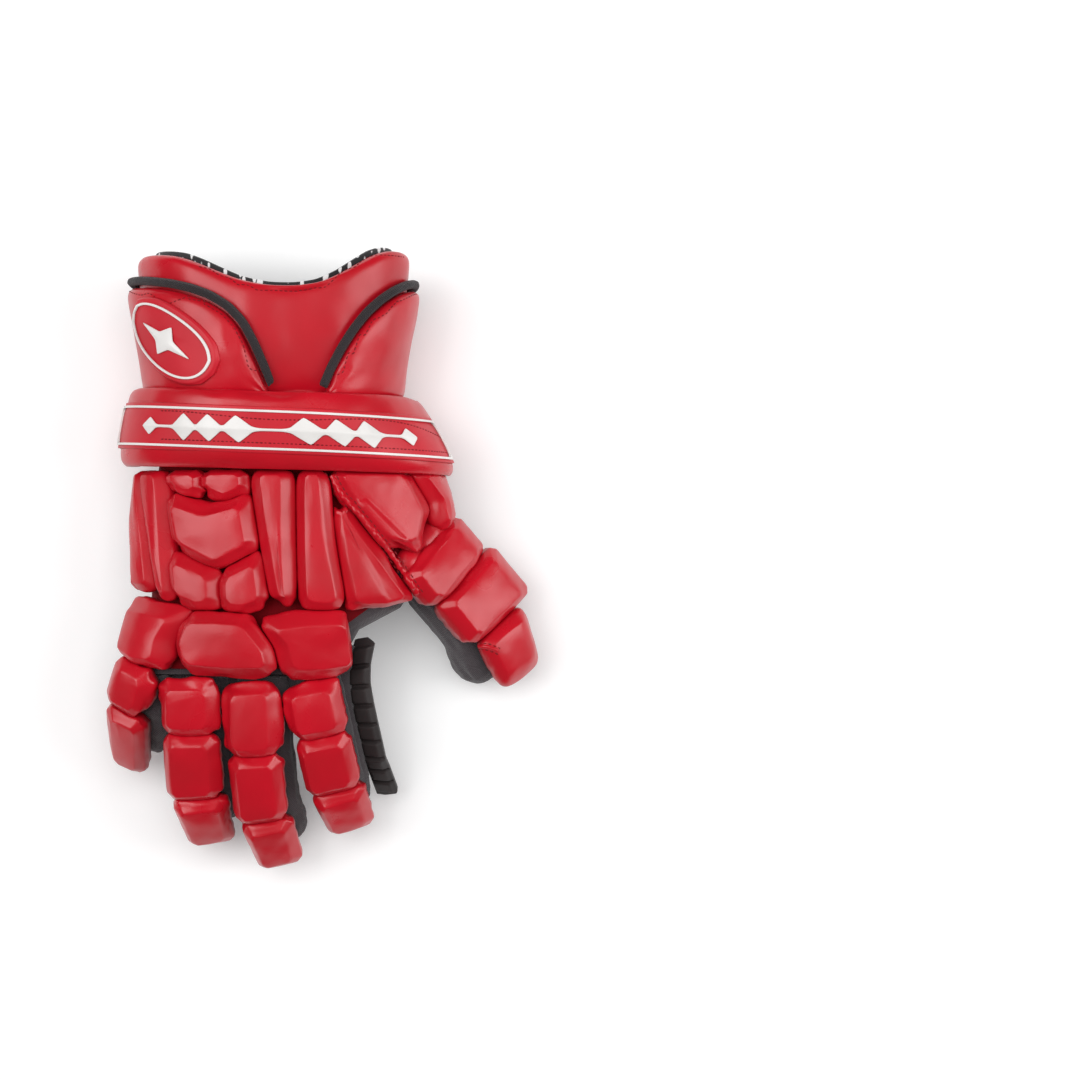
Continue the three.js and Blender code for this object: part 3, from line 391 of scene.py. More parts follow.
class Graph:
    """A short way to write a node tree."""

    def __init__(self, tree: bpy.types.NodeTree) -> None:
        """Keeps the tree.

        Args:
            tree: the tree that the nodes go into.
        """
        self.tree = tree

    def node(self, kind: str, inputs: dict | None = None, **settings: object) -> bpy.types.Node:
        """Adds a node.

        Args:
            kind: Blender's name of the node type.
            inputs: for each input by name or number, a socket to link or a value to set.
            settings: the node's own settings.

        Returns:
            The new node.
        """
        node = self.tree.nodes.new(kind)
        for name, value in settings.items():
            setattr(node, name, value)
        for name, value in (inputs or {}).items():
            if isinstance(value, bpy.types.NodeSocket):
                self.tree.links.new(value, node.inputs[name])
            else:
                node.inputs[name].default_value = value
        return node

    def math(self, operation: str, *values: object) -> bpy.types.NodeSocket:
        """Adds a Math node.

        Args:
            operation: what it does.
            values: its inputs, sockets or numbers.

        Returns:
            Its output.
        """
        return self.node("ShaderNodeMath", dict(enumerate(values)), operation=operation).outputs[0]

    def mix(self, factor: object, first: object, second: object) -> bpy.types.NodeSocket:
        """Adds a colour Mix node.

        Args:
            factor: how much of the second colour shows.
            first: the first colour.
            second: the second colour.

        Returns:
            Its output.
        """
        return self.node("ShaderNodeMix", {0: factor, 6: first, 7: second}, data_type="RGBA").outputs[2]

    def noise(self, vector: object, scale: object, detail: float = 2.0) -> bpy.types.NodeSocket:
        """Adds a Noise Texture.

        Args:
            vector: where it is read.
            scale: how fine it is.
            detail: how many finer layers it has.

        Returns:
            Its value.
        """
        inputs = {"Vector": vector, "Scale": scale, "Detail": detail}
        return self.node("ShaderNodeTexNoise", inputs).outputs["Fac"]

    def span(
        self, value: object, low: float, high: float, to_low: object = 0.0, to_high: object = 1.0
    ) -> bpy.types.NodeSocket:
        """Maps a value from one range to another, and holds it there.

        Args:
            value: what is mapped.
            low: where the first range starts.
            high: where it ends.
            to_low: what the start becomes.
            to_high: what the end becomes.

        Returns:
            The mapped value.
        """
        inputs = {0: value, 1: low, 2: high, 3: to_low, 4: to_high}
        return self.node("ShaderNodeMapRange", inputs, clamp=True).outputs[0]


def new_group(
    name: str, inputs: dict[str, tuple[str, object]], outputs: dict[str, str]
) -> tuple[Graph, bpy.types.Node, bpy.types.Node]:
    """Starts a shader node group with named sockets.

    Args:
        name: the group's name.
        inputs: each input's socket type and first value.
        outputs: each output's socket type.

    Returns:
        The group's graph, its input node and its output node.
    """
    tree = bpy.data.node_groups.new(name, "ShaderNodeTree")
    for label, (kind, value) in inputs.items():
        socket = tree.interface.new_socket(name=label, in_out="INPUT", socket_type=kind)
        if value is not None:
            socket.default_value = value
    for label, kind in outputs.items():
        tree.interface.new_socket(name=label, in_out="OUTPUT", socket_type=kind)
    graph = Graph(tree)
    return graph, graph.node("NodeGroupInput"), graph.node("NodeGroupOutput")


def make_grain_group() -> bpy.types.NodeTree:
    """Leather's grain: pebbles with soft creases between them, and longer unevenness.

    Returns:
        The group.
    """
    graph, start, end = new_group(
        "Leather grain",
        {"Vector": ("NodeSocketVector", None), "Pebble Scale": ("NodeSocketFloat", 1200.0)},
        {"Height": "NodeSocketFloat"},
    )
    vector = start.outputs["Vector"]
    bent = graph.node("ShaderNodeTexNoise", {"Vector": vector, "Scale": 500.0, "Detail": 1.0})
    inputs = {0: bent.outputs["Color"], 1: (0.0006,) * 3}
    shifted = graph.node("ShaderNodeVectorMath", inputs, operation="MULTIPLY")
    place = graph.node("ShaderNodeVectorMath", {0: vector, 1: shifted.outputs[0]}, operation="ADD")
    inputs = {"Vector": place.outputs[0], "Scale": start.outputs["Pebble Scale"]}
    cells = graph.node("ShaderNodeTexVoronoi", inputs, feature="SMOOTH_F1").outputs["Distance"]
    long = graph.noise(vector, 160.0, 3.0)
    total = graph.math("ADD", graph.math("MULTIPLY", cells, -0.5), graph.math("MULTIPLY", long, 1.4))
    graph.tree.links.new(total, end.inputs["Height"])
    return graph.tree


def make_tone_and_shade_group() -> bpy.types.NodeTree:
    """Uneven colour and gloss: a second tone in soft patches, and painted shade, a darker tone in the seams
    and grooves where the mask is set.

    Returns:
        The group.
    """
    graph, start, end = new_group(
        "Uneven tone and painted shade",
        {
            "Vector": ("NodeSocketVector", None),
            "Base": ("NodeSocketColor", (0.5, 0.5, 0.5, 1)),
            "Second": ("NodeSocketColor", (0.5, 0.5, 0.5, 1)),
            "Seam": ("NodeSocketColor", (0, 0, 0, 1)),
            "Painted Shade Mask": ("NodeSocketFloat", 0.0),
            "Patch Scale": ("NodeSocketFloat", 30.0),
            "Gloss Low": ("NodeSocketFloat", 0.3),
            "Gloss High": ("NodeSocketFloat", 0.5),
        },
        {"Colour": "NodeSocketColor", "Roughness": "NodeSocketFloat"},
    )
    vector = start.outputs["Vector"]
    patches = graph.span(graph.noise(vector, start.outputs["Patch Scale"], 4.0), 0.35, 0.68)
    specks = graph.span(graph.noise(vector, 900.0, 2.0), 0.55, 0.8, 0.0, 0.12)
    tone = graph.mix(graph.math("MAXIMUM", patches, specks), start.outputs["Base"], start.outputs["Second"])
    # Painted shade: the darker colour darkens the seams and grooves where the mask is set.
    colour = graph.mix(start.outputs["Painted Shade Mask"], tone, start.outputs["Seam"])
    gloss = graph.span(patches, 0.0, 1.0, start.outputs["Gloss Low"], start.outputs["Gloss High"])
    rougher = graph.math("ADD", gloss, graph.math("MULTIPLY", start.outputs["Painted Shade Mask"], 0.15))
    graph.tree.links.new(colour, end.inputs["Colour"])
    graph.tree.links.new(rougher, end.inputs["Roughness"])
    return graph.tree


def make_knit_group() -> bpy.types.NodeTree:
    """A knit that looks the same on a face of any direction: ribs crossed by small loops.

    Returns:
        The group.
    """
    graph, start, end = new_group(
        "Knit",
        {"Vector": ("NodeSocketVector", None), "Loop": ("NodeSocketFloat", 0.0012)},
        {"Height": "NodeSocketFloat"},
    )
    turns = graph.math("DIVIDE", 2 * math.pi, start.outputs["Loop"])
    inputs = {0: start.outputs["Vector"], "Scale": turns}
    scaled = graph.node("ShaderNodeVectorMath", inputs, operation="SCALE").outputs[0]
    x, y, z = graph.node("ShaderNodeSeparateXYZ", {0: scaled}).outputs[:3]
    loops = graph.math("MULTIPLY", graph.math("SINE", x), graph.math("COSINE", y))
    loops = graph.math("ADD", loops, graph.math("MULTIPLY", graph.math("SINE", y), graph.math("COSINE", z)))
    loops = graph.math("ADD", loops, graph.math("MULTIPLY", graph.math("SINE", z), graph.math("COSINE", x)))
    fuzz = graph.noise(start.outputs["Vector"], 2500.0, 2.0)
    total = graph.math("ADD", graph.span(loops, -1.3, 1.3), graph.math("MULTIPLY", fuzz, 0.5))
    graph.tree.links.new(total, end.inputs["Height"])
    return graph.tree


GRAIN = make_grain_group()
TONE_AND_SHADE = make_tone_and_shade_group()
KNIT = make_knit_group()


def shade(colour: Colour) -> tuple[float, float, float, float]:
    """A colour with its alpha.

    Args:
        colour: red, green and blue.

    Returns:
        The colour as a socket takes it.
    """
    return (*colour, 1.0)


@dataclass(frozen=True)
class Finish:
    """What all finishes share: two close tones, a darker tone painted as shade in the seams and grooves, and
    a range of gloss.
    """

    name: str
    slot: Slot
    base: Colour
    second: Colour
    # Painted shade: the darker colour that the seam attribute mixes in.
    seam: Colour
    gloss: Pair = (0.35, 0.5)
    patch_scale: float = 30.0
    bump: float = 0.25
    bump_depth: float = 0.0002
    specular: float = 0.5
    sheen: float = 0.0
    sheen_roughness: float = 0.6

    def relief(self, graph: Graph, vector: bpy.types.NodeSocket) -> bpy.types.NodeSocket:
        """The height that the surface's bump reads: smooth moulding, unless a finish has its own.

        Args:
            graph: the material's graph.
            vector: where it is read.

        Returns:
            The height.
        """
        return graph.noise(vector, 1100.0, 3.0)

    def tint(
        self, graph: Graph, vector: bpy.types.NodeSocket, colour: bpy.types.NodeSocket
    ) -> bpy.types.NodeSocket:
        """The colour, changed where a finish has a pattern of its own.

        Args:
            graph: the material's graph.
            vector: where the pattern is read.
            colour: the plain colour.

        Returns:
            The colour that shows.
        """
        return colour

    def material(self) -> bpy.types.Material:
        """Builds the finish's material.

        Returns:
            The material, made once for each name.
        """
        if self.name in bpy.data.materials:
            return bpy.data.materials[self.name]
        material = bpy.data.materials.new(self.name)
        material.use_nodes = True
        material.node_tree.nodes.clear()
        graph = Graph(material.node_tree)
        vector = graph.node("ShaderNodeTexCoord").outputs["Object"]
        # The seam attribute is a painted-shade mask: where it is set, the colour darkens as in shade.
        painted_shade_mask = graph.node("ShaderNodeAttribute", attribute_name="seam").outputs["Fac"]
        tone = graph.node(
            "ShaderNodeGroup",
            {
                "Vector": vector,
                "Base": shade(self.base),
                "Second": shade(self.second),
                "Seam": shade(self.seam),
                "Painted Shade Mask": painted_shade_mask,
                "Patch Scale": self.patch_scale,
                "Gloss Low": self.gloss[0],
                "Gloss High": self.gloss[1],
            },
            node_tree=TONE_AND_SHADE,
        )
        bump = graph.node(
            "ShaderNodeBump",
            {"Height": self.relief(graph, vector), "Strength": self.bump, "Distance": self.bump_depth},
        )
        surface = graph.node(
            "ShaderNodeBsdfPrincipled",
            {
                "Base Color": self.tint(graph, vector, tone.outputs["Colour"]),
                "Roughness": tone.outputs["Roughness"],
                "Normal": bump.outputs[0],
                "Specular IOR Level": self.specular,
                "Sheen Weight": self.sheen,
                "Sheen Roughness": self.sheen_roughness,
            },
        )
        graph.node("ShaderNodeOutputMaterial", {"Surface": surface.outputs[0]})
        return material


@dataclass(frozen=True)
class LeatherFinish(Finish):
    """Coated leather over foam."""

    pebble_scale: float = 1300.0

    def relief(self, graph: Graph, vector: bpy.types.NodeSocket) -> bpy.types.NodeSocket:
        """Leather's grain.

        Args:
            graph: the material's graph.
            vector: where it is read.

        Returns:
            The height.
        """
        inputs = {"Vector": vector, "Pebble Scale": self.pebble_scale}
        return graph.node("ShaderNodeGroup", inputs, node_tree=GRAIN).outputs["Height"]


@dataclass(frozen=True)
class KnitFinish(Finish):
    """Knitted mesh."""

    loop: float = 0.0012

    def relief(self, graph: Graph, vector: bpy.types.NodeSocket) -> bpy.types.NodeSocket:
        """The knit's ribs and loops.

        Args:
            graph: the material's graph.
            vector: where they are read.

        Returns:
            The height.
        """
        inputs = {"Vector": vector, "Loop": self.loop}
        return graph.node("ShaderNodeGroup", inputs, node_tree=KNIT).outputs["Height"]


@dataclass(frozen=True)
class PrintedFinish(KnitFinish):
    """Fine lining with a scatter of small white flecks."""

    fleck: Colour = (0.8, 0.8, 0.8)
    fleck_scale: float = 330.0
    fleck_turn: tuple[float, float, float] = (0.3, 0.2, 0.7)
    fleck_stretch: tuple[float, float, float] = (1.0, 0.35, 0.6)

    def tint(
        self, graph: Graph, vector: bpy.types.NodeSocket, colour: bpy.types.NodeSocket
    ) -> bpy.types.NodeSocket:
        """Prints the flecks over the cloth's colour.

        Args:
            graph: the material's graph.
            vector: where the flecks are read.
            colour: the cloth's colour.

        Returns:
            The printed cloth's colour.
        """
        inputs = {"Vector": vector, "Rotation": self.fleck_turn, "Scale": self.fleck_stretch}
        place = graph.node("ShaderNodeMapping", inputs).outputs[0]
        inputs = {"Vector": place, "Scale": self.fleck_scale}
        cells = graph.node("ShaderNodeTexVoronoi", inputs).outputs["Distance"]
        flecks = graph.span(cells, 0.3, 0.36, 1.0, 0.0)
        return graph.mix(flecks, colour, shade(self.fleck))


# The third colour of each finish is painted shade, shown where a piece carries the seam attribute, low on the
# walls of the leather pieces.
RED_LEATHER = LeatherFinish(
    "Red coated leather", Slot.RED_LEATHER, (0.54, 0.0048, 0.016), (0.47, 0.0036, 0.012),
    (0.12, 0.001, 0.004), gloss=(0.27, 0.36), bump=0.14, bump_depth=0.00025, specular=0.6,
)
# Painted shade: the sheet under the blocks is a darker, duller copy of the red leather, so that where it
# shows between the blocks it reads as shadow.
COVER_LEATHER_PAINTED_SHADE = LeatherFinish(
    "Red leather under the blocks, painted darker as shade", Slot.RED_LEATHER, (0.3, 0.0022, 0.008), (0.24, 0.0018, 0.006),
    (0.1, 0.0008, 0.003), gloss=(0.6, 0.7), bump=0.14, bump_depth=0.00025, specular=0.15,
)
BLACK_MESH = KnitFinish(
    "Black knitted mesh", Slot.MESH_FABRIC, (0.062, 0.05, 0.056), (0.046, 0.037, 0.042), (0.02, 0.016, 0.018),
    gloss=(0.8, 0.92), bump=0.55, bump_depth=0.0005, specular=0.3, sheen=0.25,
)
BLACK_BINDING = KnitFinish(
    "Black binding", Slot.MESH_FABRIC, (0.03, 0.024, 0.027), (0.022, 0.018, 0.02), (0.01, 0.008, 0.009),
    gloss=(0.75, 0.88), bump=0.7, bump_depth=0.0005, specular=0.3, sheen=0.1, loop=0.0014,
)
PRINTED_LINING = PrintedFinish(
    "Printed lining", Slot.LINING_FABRIC, (0.02, 0.019, 0.021), (0.015, 0.014, 0.016), (0.008, 0.008, 0.008),
    gloss=(0.7, 0.85), bump=0.4, bump_depth=0.0003, sheen=0.2, loop=0.0008,
)
BLACK_RUBBER = Finish(
    "Black moulded rubber", Slot.BLACK_RUBBER, (0.04, 0.033, 0.033), (0.03, 0.025, 0.025),
    (0.01, 0.008, 0.008), gloss=(0.5, 0.62), bump=0.2, specular=0.3,
)
RED_RUBBER = Finish(
    "Red moulded rubber", Slot.RED_RUBBER, (0.58, 0.012, 0.026), (0.52, 0.009, 0.021), (0.2, 0.003, 0.006),
    gloss=(0.4, 0.52), bump=0.14,
)
WHITE_RUBBER = Finish(
    "White moulded rubber", Slot.WHITE_RUBBER, (0.82, 0.8, 0.78), (0.72, 0.7, 0.68), (0.5, 0.42, 0.4),
    gloss=(0.42, 0.55), bump=0.12,
)
PALE_FLOOR = Finish(
    "Pale floor", Slot.WHITE_RUBBER, (0.93, 0.93, 0.93), (0.91, 0.91, 0.91), (0.9, 0.9, 0.9),
    gloss=(0.8, 0.9), patch_scale=2.0, bump=0.02, specular=0.2,
)
RED_THREAD = Finish(
    "Dark red thread", Slot.RED_LEATHER, (0.24, 0.003, 0.008), (0.18, 0.002, 0.006), (0.1, 0.001, 0.003),
    gloss=(0.6, 0.75), bump=0.3,
)


def dress(
    piece: bpy.types.Object, finish: Finish, nodes: Sequence[str] = ()
) -> bpy.types.Object:
    """Gives a finished piece its material and its place in the frame.

    Args:
        piece: the finished piece.
        finish: what it is made of.
        nodes: the solids that it stands for.

    Returns:
        The piece.
    """
    piece.data.materials.clear()
    piece.data.materials.append(finish.material())
    piece.data.shade_smooth()
    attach(piece, BODY)
    if nodes:
        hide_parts(*nodes)
    log.info("%s: %d faces, %s", piece.name, len(piece.data.polygons), finish.name)
    return piece


# Geometry Nodes trees


def new_tree(
    name: str, inputs: dict[str, tuple[str, object]]
) -> tuple[Graph, bpy.types.Node, bpy.types.Node]:
    """Starts a Geometry Nodes tree with named inputs besides its geometry.

    Args:
        name: the tree's name.
        inputs: each input's socket type and first value.

    Returns:
        The tree's graph, its input node and its output node.
    """
    tree = bpy.data.node_groups.new(name, "GeometryNodeTree")
    tree.interface.new_socket(name="Geometry", in_out="INPUT", socket_type="NodeSocketGeometry")
    for label, (kind, value) in inputs.items():
        socket = tree.interface.new_socket(name=label, in_out="INPUT", socket_type=kind)
        if value is not None:
            socket.default_value = value
    tree.interface.new_socket(name="Geometry", in_out="OUTPUT", socket_type="NodeSocketGeometry")
    graph = Graph(tree)
    return graph, graph.node("NodeGroupInput"), graph.node("NodeGroupOutput")


def make_stitch_tree() -> bpy.types.NodeTree:
    """Thread stitches that lie one behind the other along a path.

    Returns:
        The tree.
    """
    graph, start, end = new_tree(
        "Stitch row",
        {
            "Spacing": ("NodeSocketFloat", 0.0032),
            "Length": ("NodeSocketFloat", 0.0023),
            "Thickness": ("NodeSocketFloat", 0.0007),
            "Smallest": ("NodeSocketFloat", 0.82),
            "Largest": ("NodeSocketFloat", 1.12),
            "Seed": ("NodeSocketInt", 3),
            "Thread": ("NodeSocketMaterial", None),
        },
    )
    sockets = start.outputs
    curve = graph.node("GeometryNodeMeshToCurve", {0: sockets["Geometry"]}).outputs[0]
    inputs = {"Curve": curve, "Length": sockets["Spacing"]}
    row = graph.node("GeometryNodeResampleCurve", inputs, mode="LENGTH").outputs[0]
    ball = graph.node("GeometryNodeMeshUVSphere", {"Segments": 8, "Rings": 5, "Radius": 0.5}).outputs["Mesh"]
    sides = {0: sockets["Length"], 1: sockets["Thickness"], 2: sockets["Thickness"]}
    size = graph.node("ShaderNodeCombineXYZ", sides).outputs[0]
    stitch = graph.node("GeometryNodeTransform", {"Geometry": ball, "Scale": size}).outputs[0]
    outward = graph.node("GeometryNodeInputNamedAttribute", {"Name": "outward"}, data_type="FLOAT_VECTOR")
    inputs = {"Vector": outward.outputs["Attribute"]}
    upright = graph.node("FunctionNodeAlignRotationToVector", inputs, axis="Z").outputs[0]
    inputs = {"Rotation": upright, "Vector": graph.node("GeometryNodeInputTangent").outputs[0]}
    turned = graph.node("FunctionNodeAlignRotationToVector", inputs, axis="X", pivot_axis="Z").outputs[0]
    inputs = {2: sockets["Smallest"], 3: sockets["Largest"], "Seed": sockets["Seed"]}
    chance = graph.node("FunctionNodeRandomValue", inputs, data_type="FLOAT")
    copies = graph.node(
        "GeometryNodeInstanceOnPoints",
        {"Points": row, "Instance": stitch, "Rotation": turned, "Scale": chance.outputs[1]},
    ).outputs[0]
    real = graph.node("GeometryNodeRealizeInstances", {0: copies}).outputs[0]
    done = graph.node("GeometryNodeSetMaterial", {"Geometry": real, "Material": sockets["Thread"]}).outputs[0]
    graph.tree.links.new(done, end.inputs[0])
    return graph.tree


def make_binding_tree() -> bpy.types.NodeTree:
    """A round or flattened binding that follows a path.

    Returns:
        The tree.
    """
    graph, start, end = new_tree(
        "Binding",
        {
            "Step": ("NodeSocketFloat", 0.0012),
            "Width": ("NodeSocketFloat", 0.005),
            "Height": ("NodeSocketFloat", 0.005),
            "Cloth": ("NodeSocketMaterial", None),
        },
    )
    sockets = start.outputs
    curve = graph.node("GeometryNodeMeshToCurve", {0: sockets["Geometry"]}).outputs[0]
    inputs = {"Curve": curve, "Length": sockets["Step"]}
    path = graph.node("GeometryNodeResampleCurve", inputs, mode="LENGTH").outputs[0]
    ring = graph.node("GeometryNodeCurvePrimitiveCircle", {"Resolution": 18, "Radius": 0.5}).outputs[0]
    size = graph.node("ShaderNodeCombineXYZ", {0: sockets["Width"], 1: sockets["Height"], 2: 1.0}).outputs[0]
    profile = graph.node("GeometryNodeTransform", {"Geometry": ring, "Scale": size}).outputs[0]
    tube = graph.node(
        "GeometryNodeCurveToMesh", {"Curve": path, "Profile Curve": profile, "Fill Caps": True}
    ).outputs[0]
    real = graph.node("GeometryNodeRealizeInstances", {0: tube}).outputs[0]
    done = graph.node("GeometryNodeSetMaterial", {"Geometry": real, "Material": sockets["Cloth"]}).outputs[0]
    graph.tree.links.new(done, end.inputs[0])
    return graph.tree


STITCH_TREE = make_stitch_tree()
BINDING_TREE = make_binding_tree()


@dataclass
class Path:
    """A line over the glove's surface."""

    points: Points
    outward: Points


def dropped(line: Line | Points, surface: BVHTree, spacing: float = 0.002, above: float = 0.3) -> Path:
    """Lays a line seen from above onto what lies under it.

    Args:
        line: X and Y of its points, in millimetres.
        surface: the surfaces it may lie on.
        spacing: the distance between the path's points, in metres.
        above: the height that it is dropped from, in metres.

    Returns:
        The path on the surface.
    """
    corners = np.array(line, float) * MM
    lengths = np.concatenate([[0.0], np.cumsum(np.linalg.norm(np.diff(corners, axis=0), axis=1))])
    stations = np.linspace(0.0, lengths[-1], max(4, int(lengths[-1] / spacing)))
    spots, out = [], []
    for x, y in zip(np.interp(stations, lengths, corners[:, 0]), np.interp(stations, lengths, corners[:, 1])):
        hit, normal, _, _ = surface.ray_cast(Vector((x, y, above)), Vector((0, 0, -1)))
        if hit is not None:
            spots.append(hit[:])
            out.append(normal[:])
    return Path(np.array(spots), np.array(out))


def grown(name: str, path: Path, tree: bpy.types.NodeTree, values: dict[str, object]) -> bpy.types.Object:
    """Runs a tree over a path and keeps what it makes as a plain mesh.

    Args:
        name: the new object's name.
        path: the line that it follows.
        tree: the Geometry Nodes tree.
        values: the tree's inputs by name.

    Returns:
        The new object.
    """
    mesh = bpy.data.meshes.new(name)
    mesh.from_pydata(path.points.tolist(), [(i, i + 1) for i in range(len(path.points) - 1)], [])
    layer = mesh.attributes.new("outward", "FLOAT_VECTOR", "POINT")
    layer.data.foreach_set("vector", path.outward.astype(np.float32).ravel())
    piece = make_object(name, mesh)
    modifier = piece.modifiers.new("grow", "NODES")
    modifier.node_group = tree
    for label, value in values.items():
        modifier[tree.interface.items_tree[label].identifier] = value
    bake_modifiers(piece)
    return piece


# Padding


def spread(mesh: bpy.types.Mesh, field_values: Points, rounds: int) -> Points:
    """Blurs a field over a mesh, from vertex to vertex.

    Args:
        mesh: the mesh that carries the field.
        field_values: one row for each vertex.
        rounds: how many times each vertex takes its neighbours' average.

    Returns:
        The blurred field.
    """
    near = Neighbours(mesh)
    values = field_values.copy()
    for _ in range(rounds):
        values = 0.5 * values + 0.5 * near.average(values)
    return values


@dataclass(frozen=True)
class Closing:
    """How far blocks are widened towards their neighbours, with all lengths in metres.

    A wall closes its share of a gap that is narrower than reach, and the seam between two walls stays open.
    Points lower than sewn_height stay where they are.
    """

    reach: float = 0.0085
    seam: float = 0.0004
    share: float = 0.5
    sewn_height: float = 0.0012
    wall: float = 0.6
    sideways: float = 0.3
    rounds: int = 5
    fading: float = 0.9


def growth(piece: bpy.types.Object, others: BVHTree, seat: BVHTree, closing: Closing, most: float) -> Points:
    """How a piece's walls have to move to come close to its neighbours.

    Args:
        piece: the piece that grows.
        others: its neighbours.
        seat: what it is sewn to.
        closing: how gaps are closed.
        most: how far a wall may move, in metres.

    Returns:
        One move for each vertex.
    """
    height, top = over_seat(piece.data, seat)
    points = coordinates(piece.data)
    facing = normals(piece.data)
    middle = points.mean(0)
    wanted = np.zeros_like(points)
    held = height < closing.sewn_height
    met = np.zeros(len(points), bool)
    for i in np.nonzero((top < closing.wall) & ~held)[0]:
        lift = Vector(points[i]) - seat.find_nearest(Vector(points[i]))[0]
        out = Vector(facing[i]) - lift * (Vector(facing[i]).dot(lift) / max(lift.length_squared, TINY))
        if out.length < closing.sideways or out.dot(Vector(points[i] - middle)) < 0:
            continue
        out.normalize()
        hit, _, _, gap = others.ray_cast(Vector(points[i]), out, closing.reach)
        if hit is not None:
            wanted[i] = np.array(out) * min(max(0.0, gap - closing.seam) * closing.share, most)
            met[i] = True
    move = wanted.copy()
    for _ in range(closing.rounds):
        blurred = spread(piece.data, move, 1)
        move = np.where(met.reshape(-1, 1), 0.5 * blurred + 0.5 * wanted, blurred * closing.fading)
        move[held] = 0.0
    return move


def close_up(
    pieces: Sequence[bpy.types.Object], seat: BVHTree, closing: Closing, most: dict[str, float]
) -> None:
    """Widens blocks until their walls almost meet, as foam blocks under one leather do.

    Args:
        pieces: the blocks, side by side.
        seat: what they are sewn to.
        closing: how gaps are closed.
        most: how far each piece's walls may move, in metres.
    """
    moves = []
    for piece in pieces:
        others = tree_of([other for other in pieces if other is not piece])
        moves.append(growth(piece, others, seat, closing, most[piece.name]))
    for piece, move in zip(pieces, moves):
        put_coordinates(piece.data, coordinates(piece.data) + move)


@dataclass(frozen=True)
class Padding:
    """How a padded piece is filled out by the cloth simulation.

    The meshes are simulated scale times as large, since cloth of a few millimetres is unsteady. A point then
    moves no further than its limit: top_limit where the piece faces away from its seat, wall_limit on a side.
    """

    pressure: float = 4.0
    tension: float = 20.0
    bending: float = 3.0
    shear_share: float = 0.5
    top_limit: float = 0.0013
    wall_limit: float = 0.0002
    top_range: Pair = (0.5, 0.95)
    pinned_below: float = 0.004
    least_pin: float = 0.01
    scale: float = 10.0
    frames: int = 20
    quality: int = 4


def swell(pieces: Sequence[bpy.types.Object], seats: Sequence[BVHTree], padding: Padding) -> None:
    """Fills the pieces out together as cloth under pressure, held where they are sewn down.

    Args:
        pieces: the padded pieces, each a closed mesh.
        seats: what carries each of them.
        padding: the simulation's settings.
    """
    verts: list[Points] = []
    faces: list = []
    pins: list[Points] = []
    limits: list[Points] = []
    total = 0
    for piece, seat in zip(pieces, seats):
        points = coordinates(piece.data)
        height, top = over_seat(piece.data, seat)
        faces += [[total + i for i in p.vertices] for p in piece.data.polygons]
        verts.append(points)
        pins.append(1.0 - smoothstep(padding.pinned_below * 0.5, padding.pinned_below, height))
        wider = padding.top_limit - padding.wall_limit
        limits.append(padding.wall_limit + wider * smoothstep(*padding.top_range, top))
        total += len(points)
    start = np.concatenate(verts)
    pin = np.concatenate(pins)
    limit = np.concatenate(limits)
    mesh = bpy.data.meshes.new("padding")
    mesh.from_pydata((start * padding.scale).tolist(), [], faces)
    cloth = make_object("padding", mesh)
    group = cloth.vertex_groups.new(name="sewn")
    for i, weight in enumerate(pin):
        if weight > padding.least_pin:
            group.add([i], float(weight), "REPLACE")
    settings = cloth.modifiers.new("cloth", "CLOTH").settings
    settings.vertex_group_mass = "sewn"
    settings.use_pressure = True
    settings.uniform_pressure_force = padding.pressure
    settings.tension_stiffness = settings.compression_stiffness = padding.tension
    settings.shear_stiffness = padding.tension * padding.shear_share
    settings.bending_stiffness = padding.bending
    settings.effector_weights.gravity = 0.0
    settings.quality = padding.quality
    scene = bpy.context.scene
    for number in range(1, padding.frames + 1):
        scene.frame_set(number)
    graph = bpy.context.evaluated_depsgraph_get()
    end = coordinates(cloth.evaluated_get(graph).data) / padding.scale
    scene.frame_set(1)
    bpy.data.objects.remove(cloth)
    move = end - start
    length = np.linalg.norm(move, axis=1)
    held = np.minimum(length, limit) / np.maximum(length, TINY)
    log.info(
        "padding: %d points, moved %.2f mm at most, %.2f mm on average",
        total, length.max() / MM, length.mean() / MM,
    )
    end = start + move * held.reshape(-1, 1)
    base = 0
    for piece, points in zip(pieces, verts):
        put_coordinates(piece.data, end[base:base + len(points)])
        base += len(points)


# The glove's sub-assemblies


SHELLS = ("back_shell", "palm_shell")
STALLS = ("little_stall", "ring_stall", "middle_stall", "index_stall", "thumb_stall")


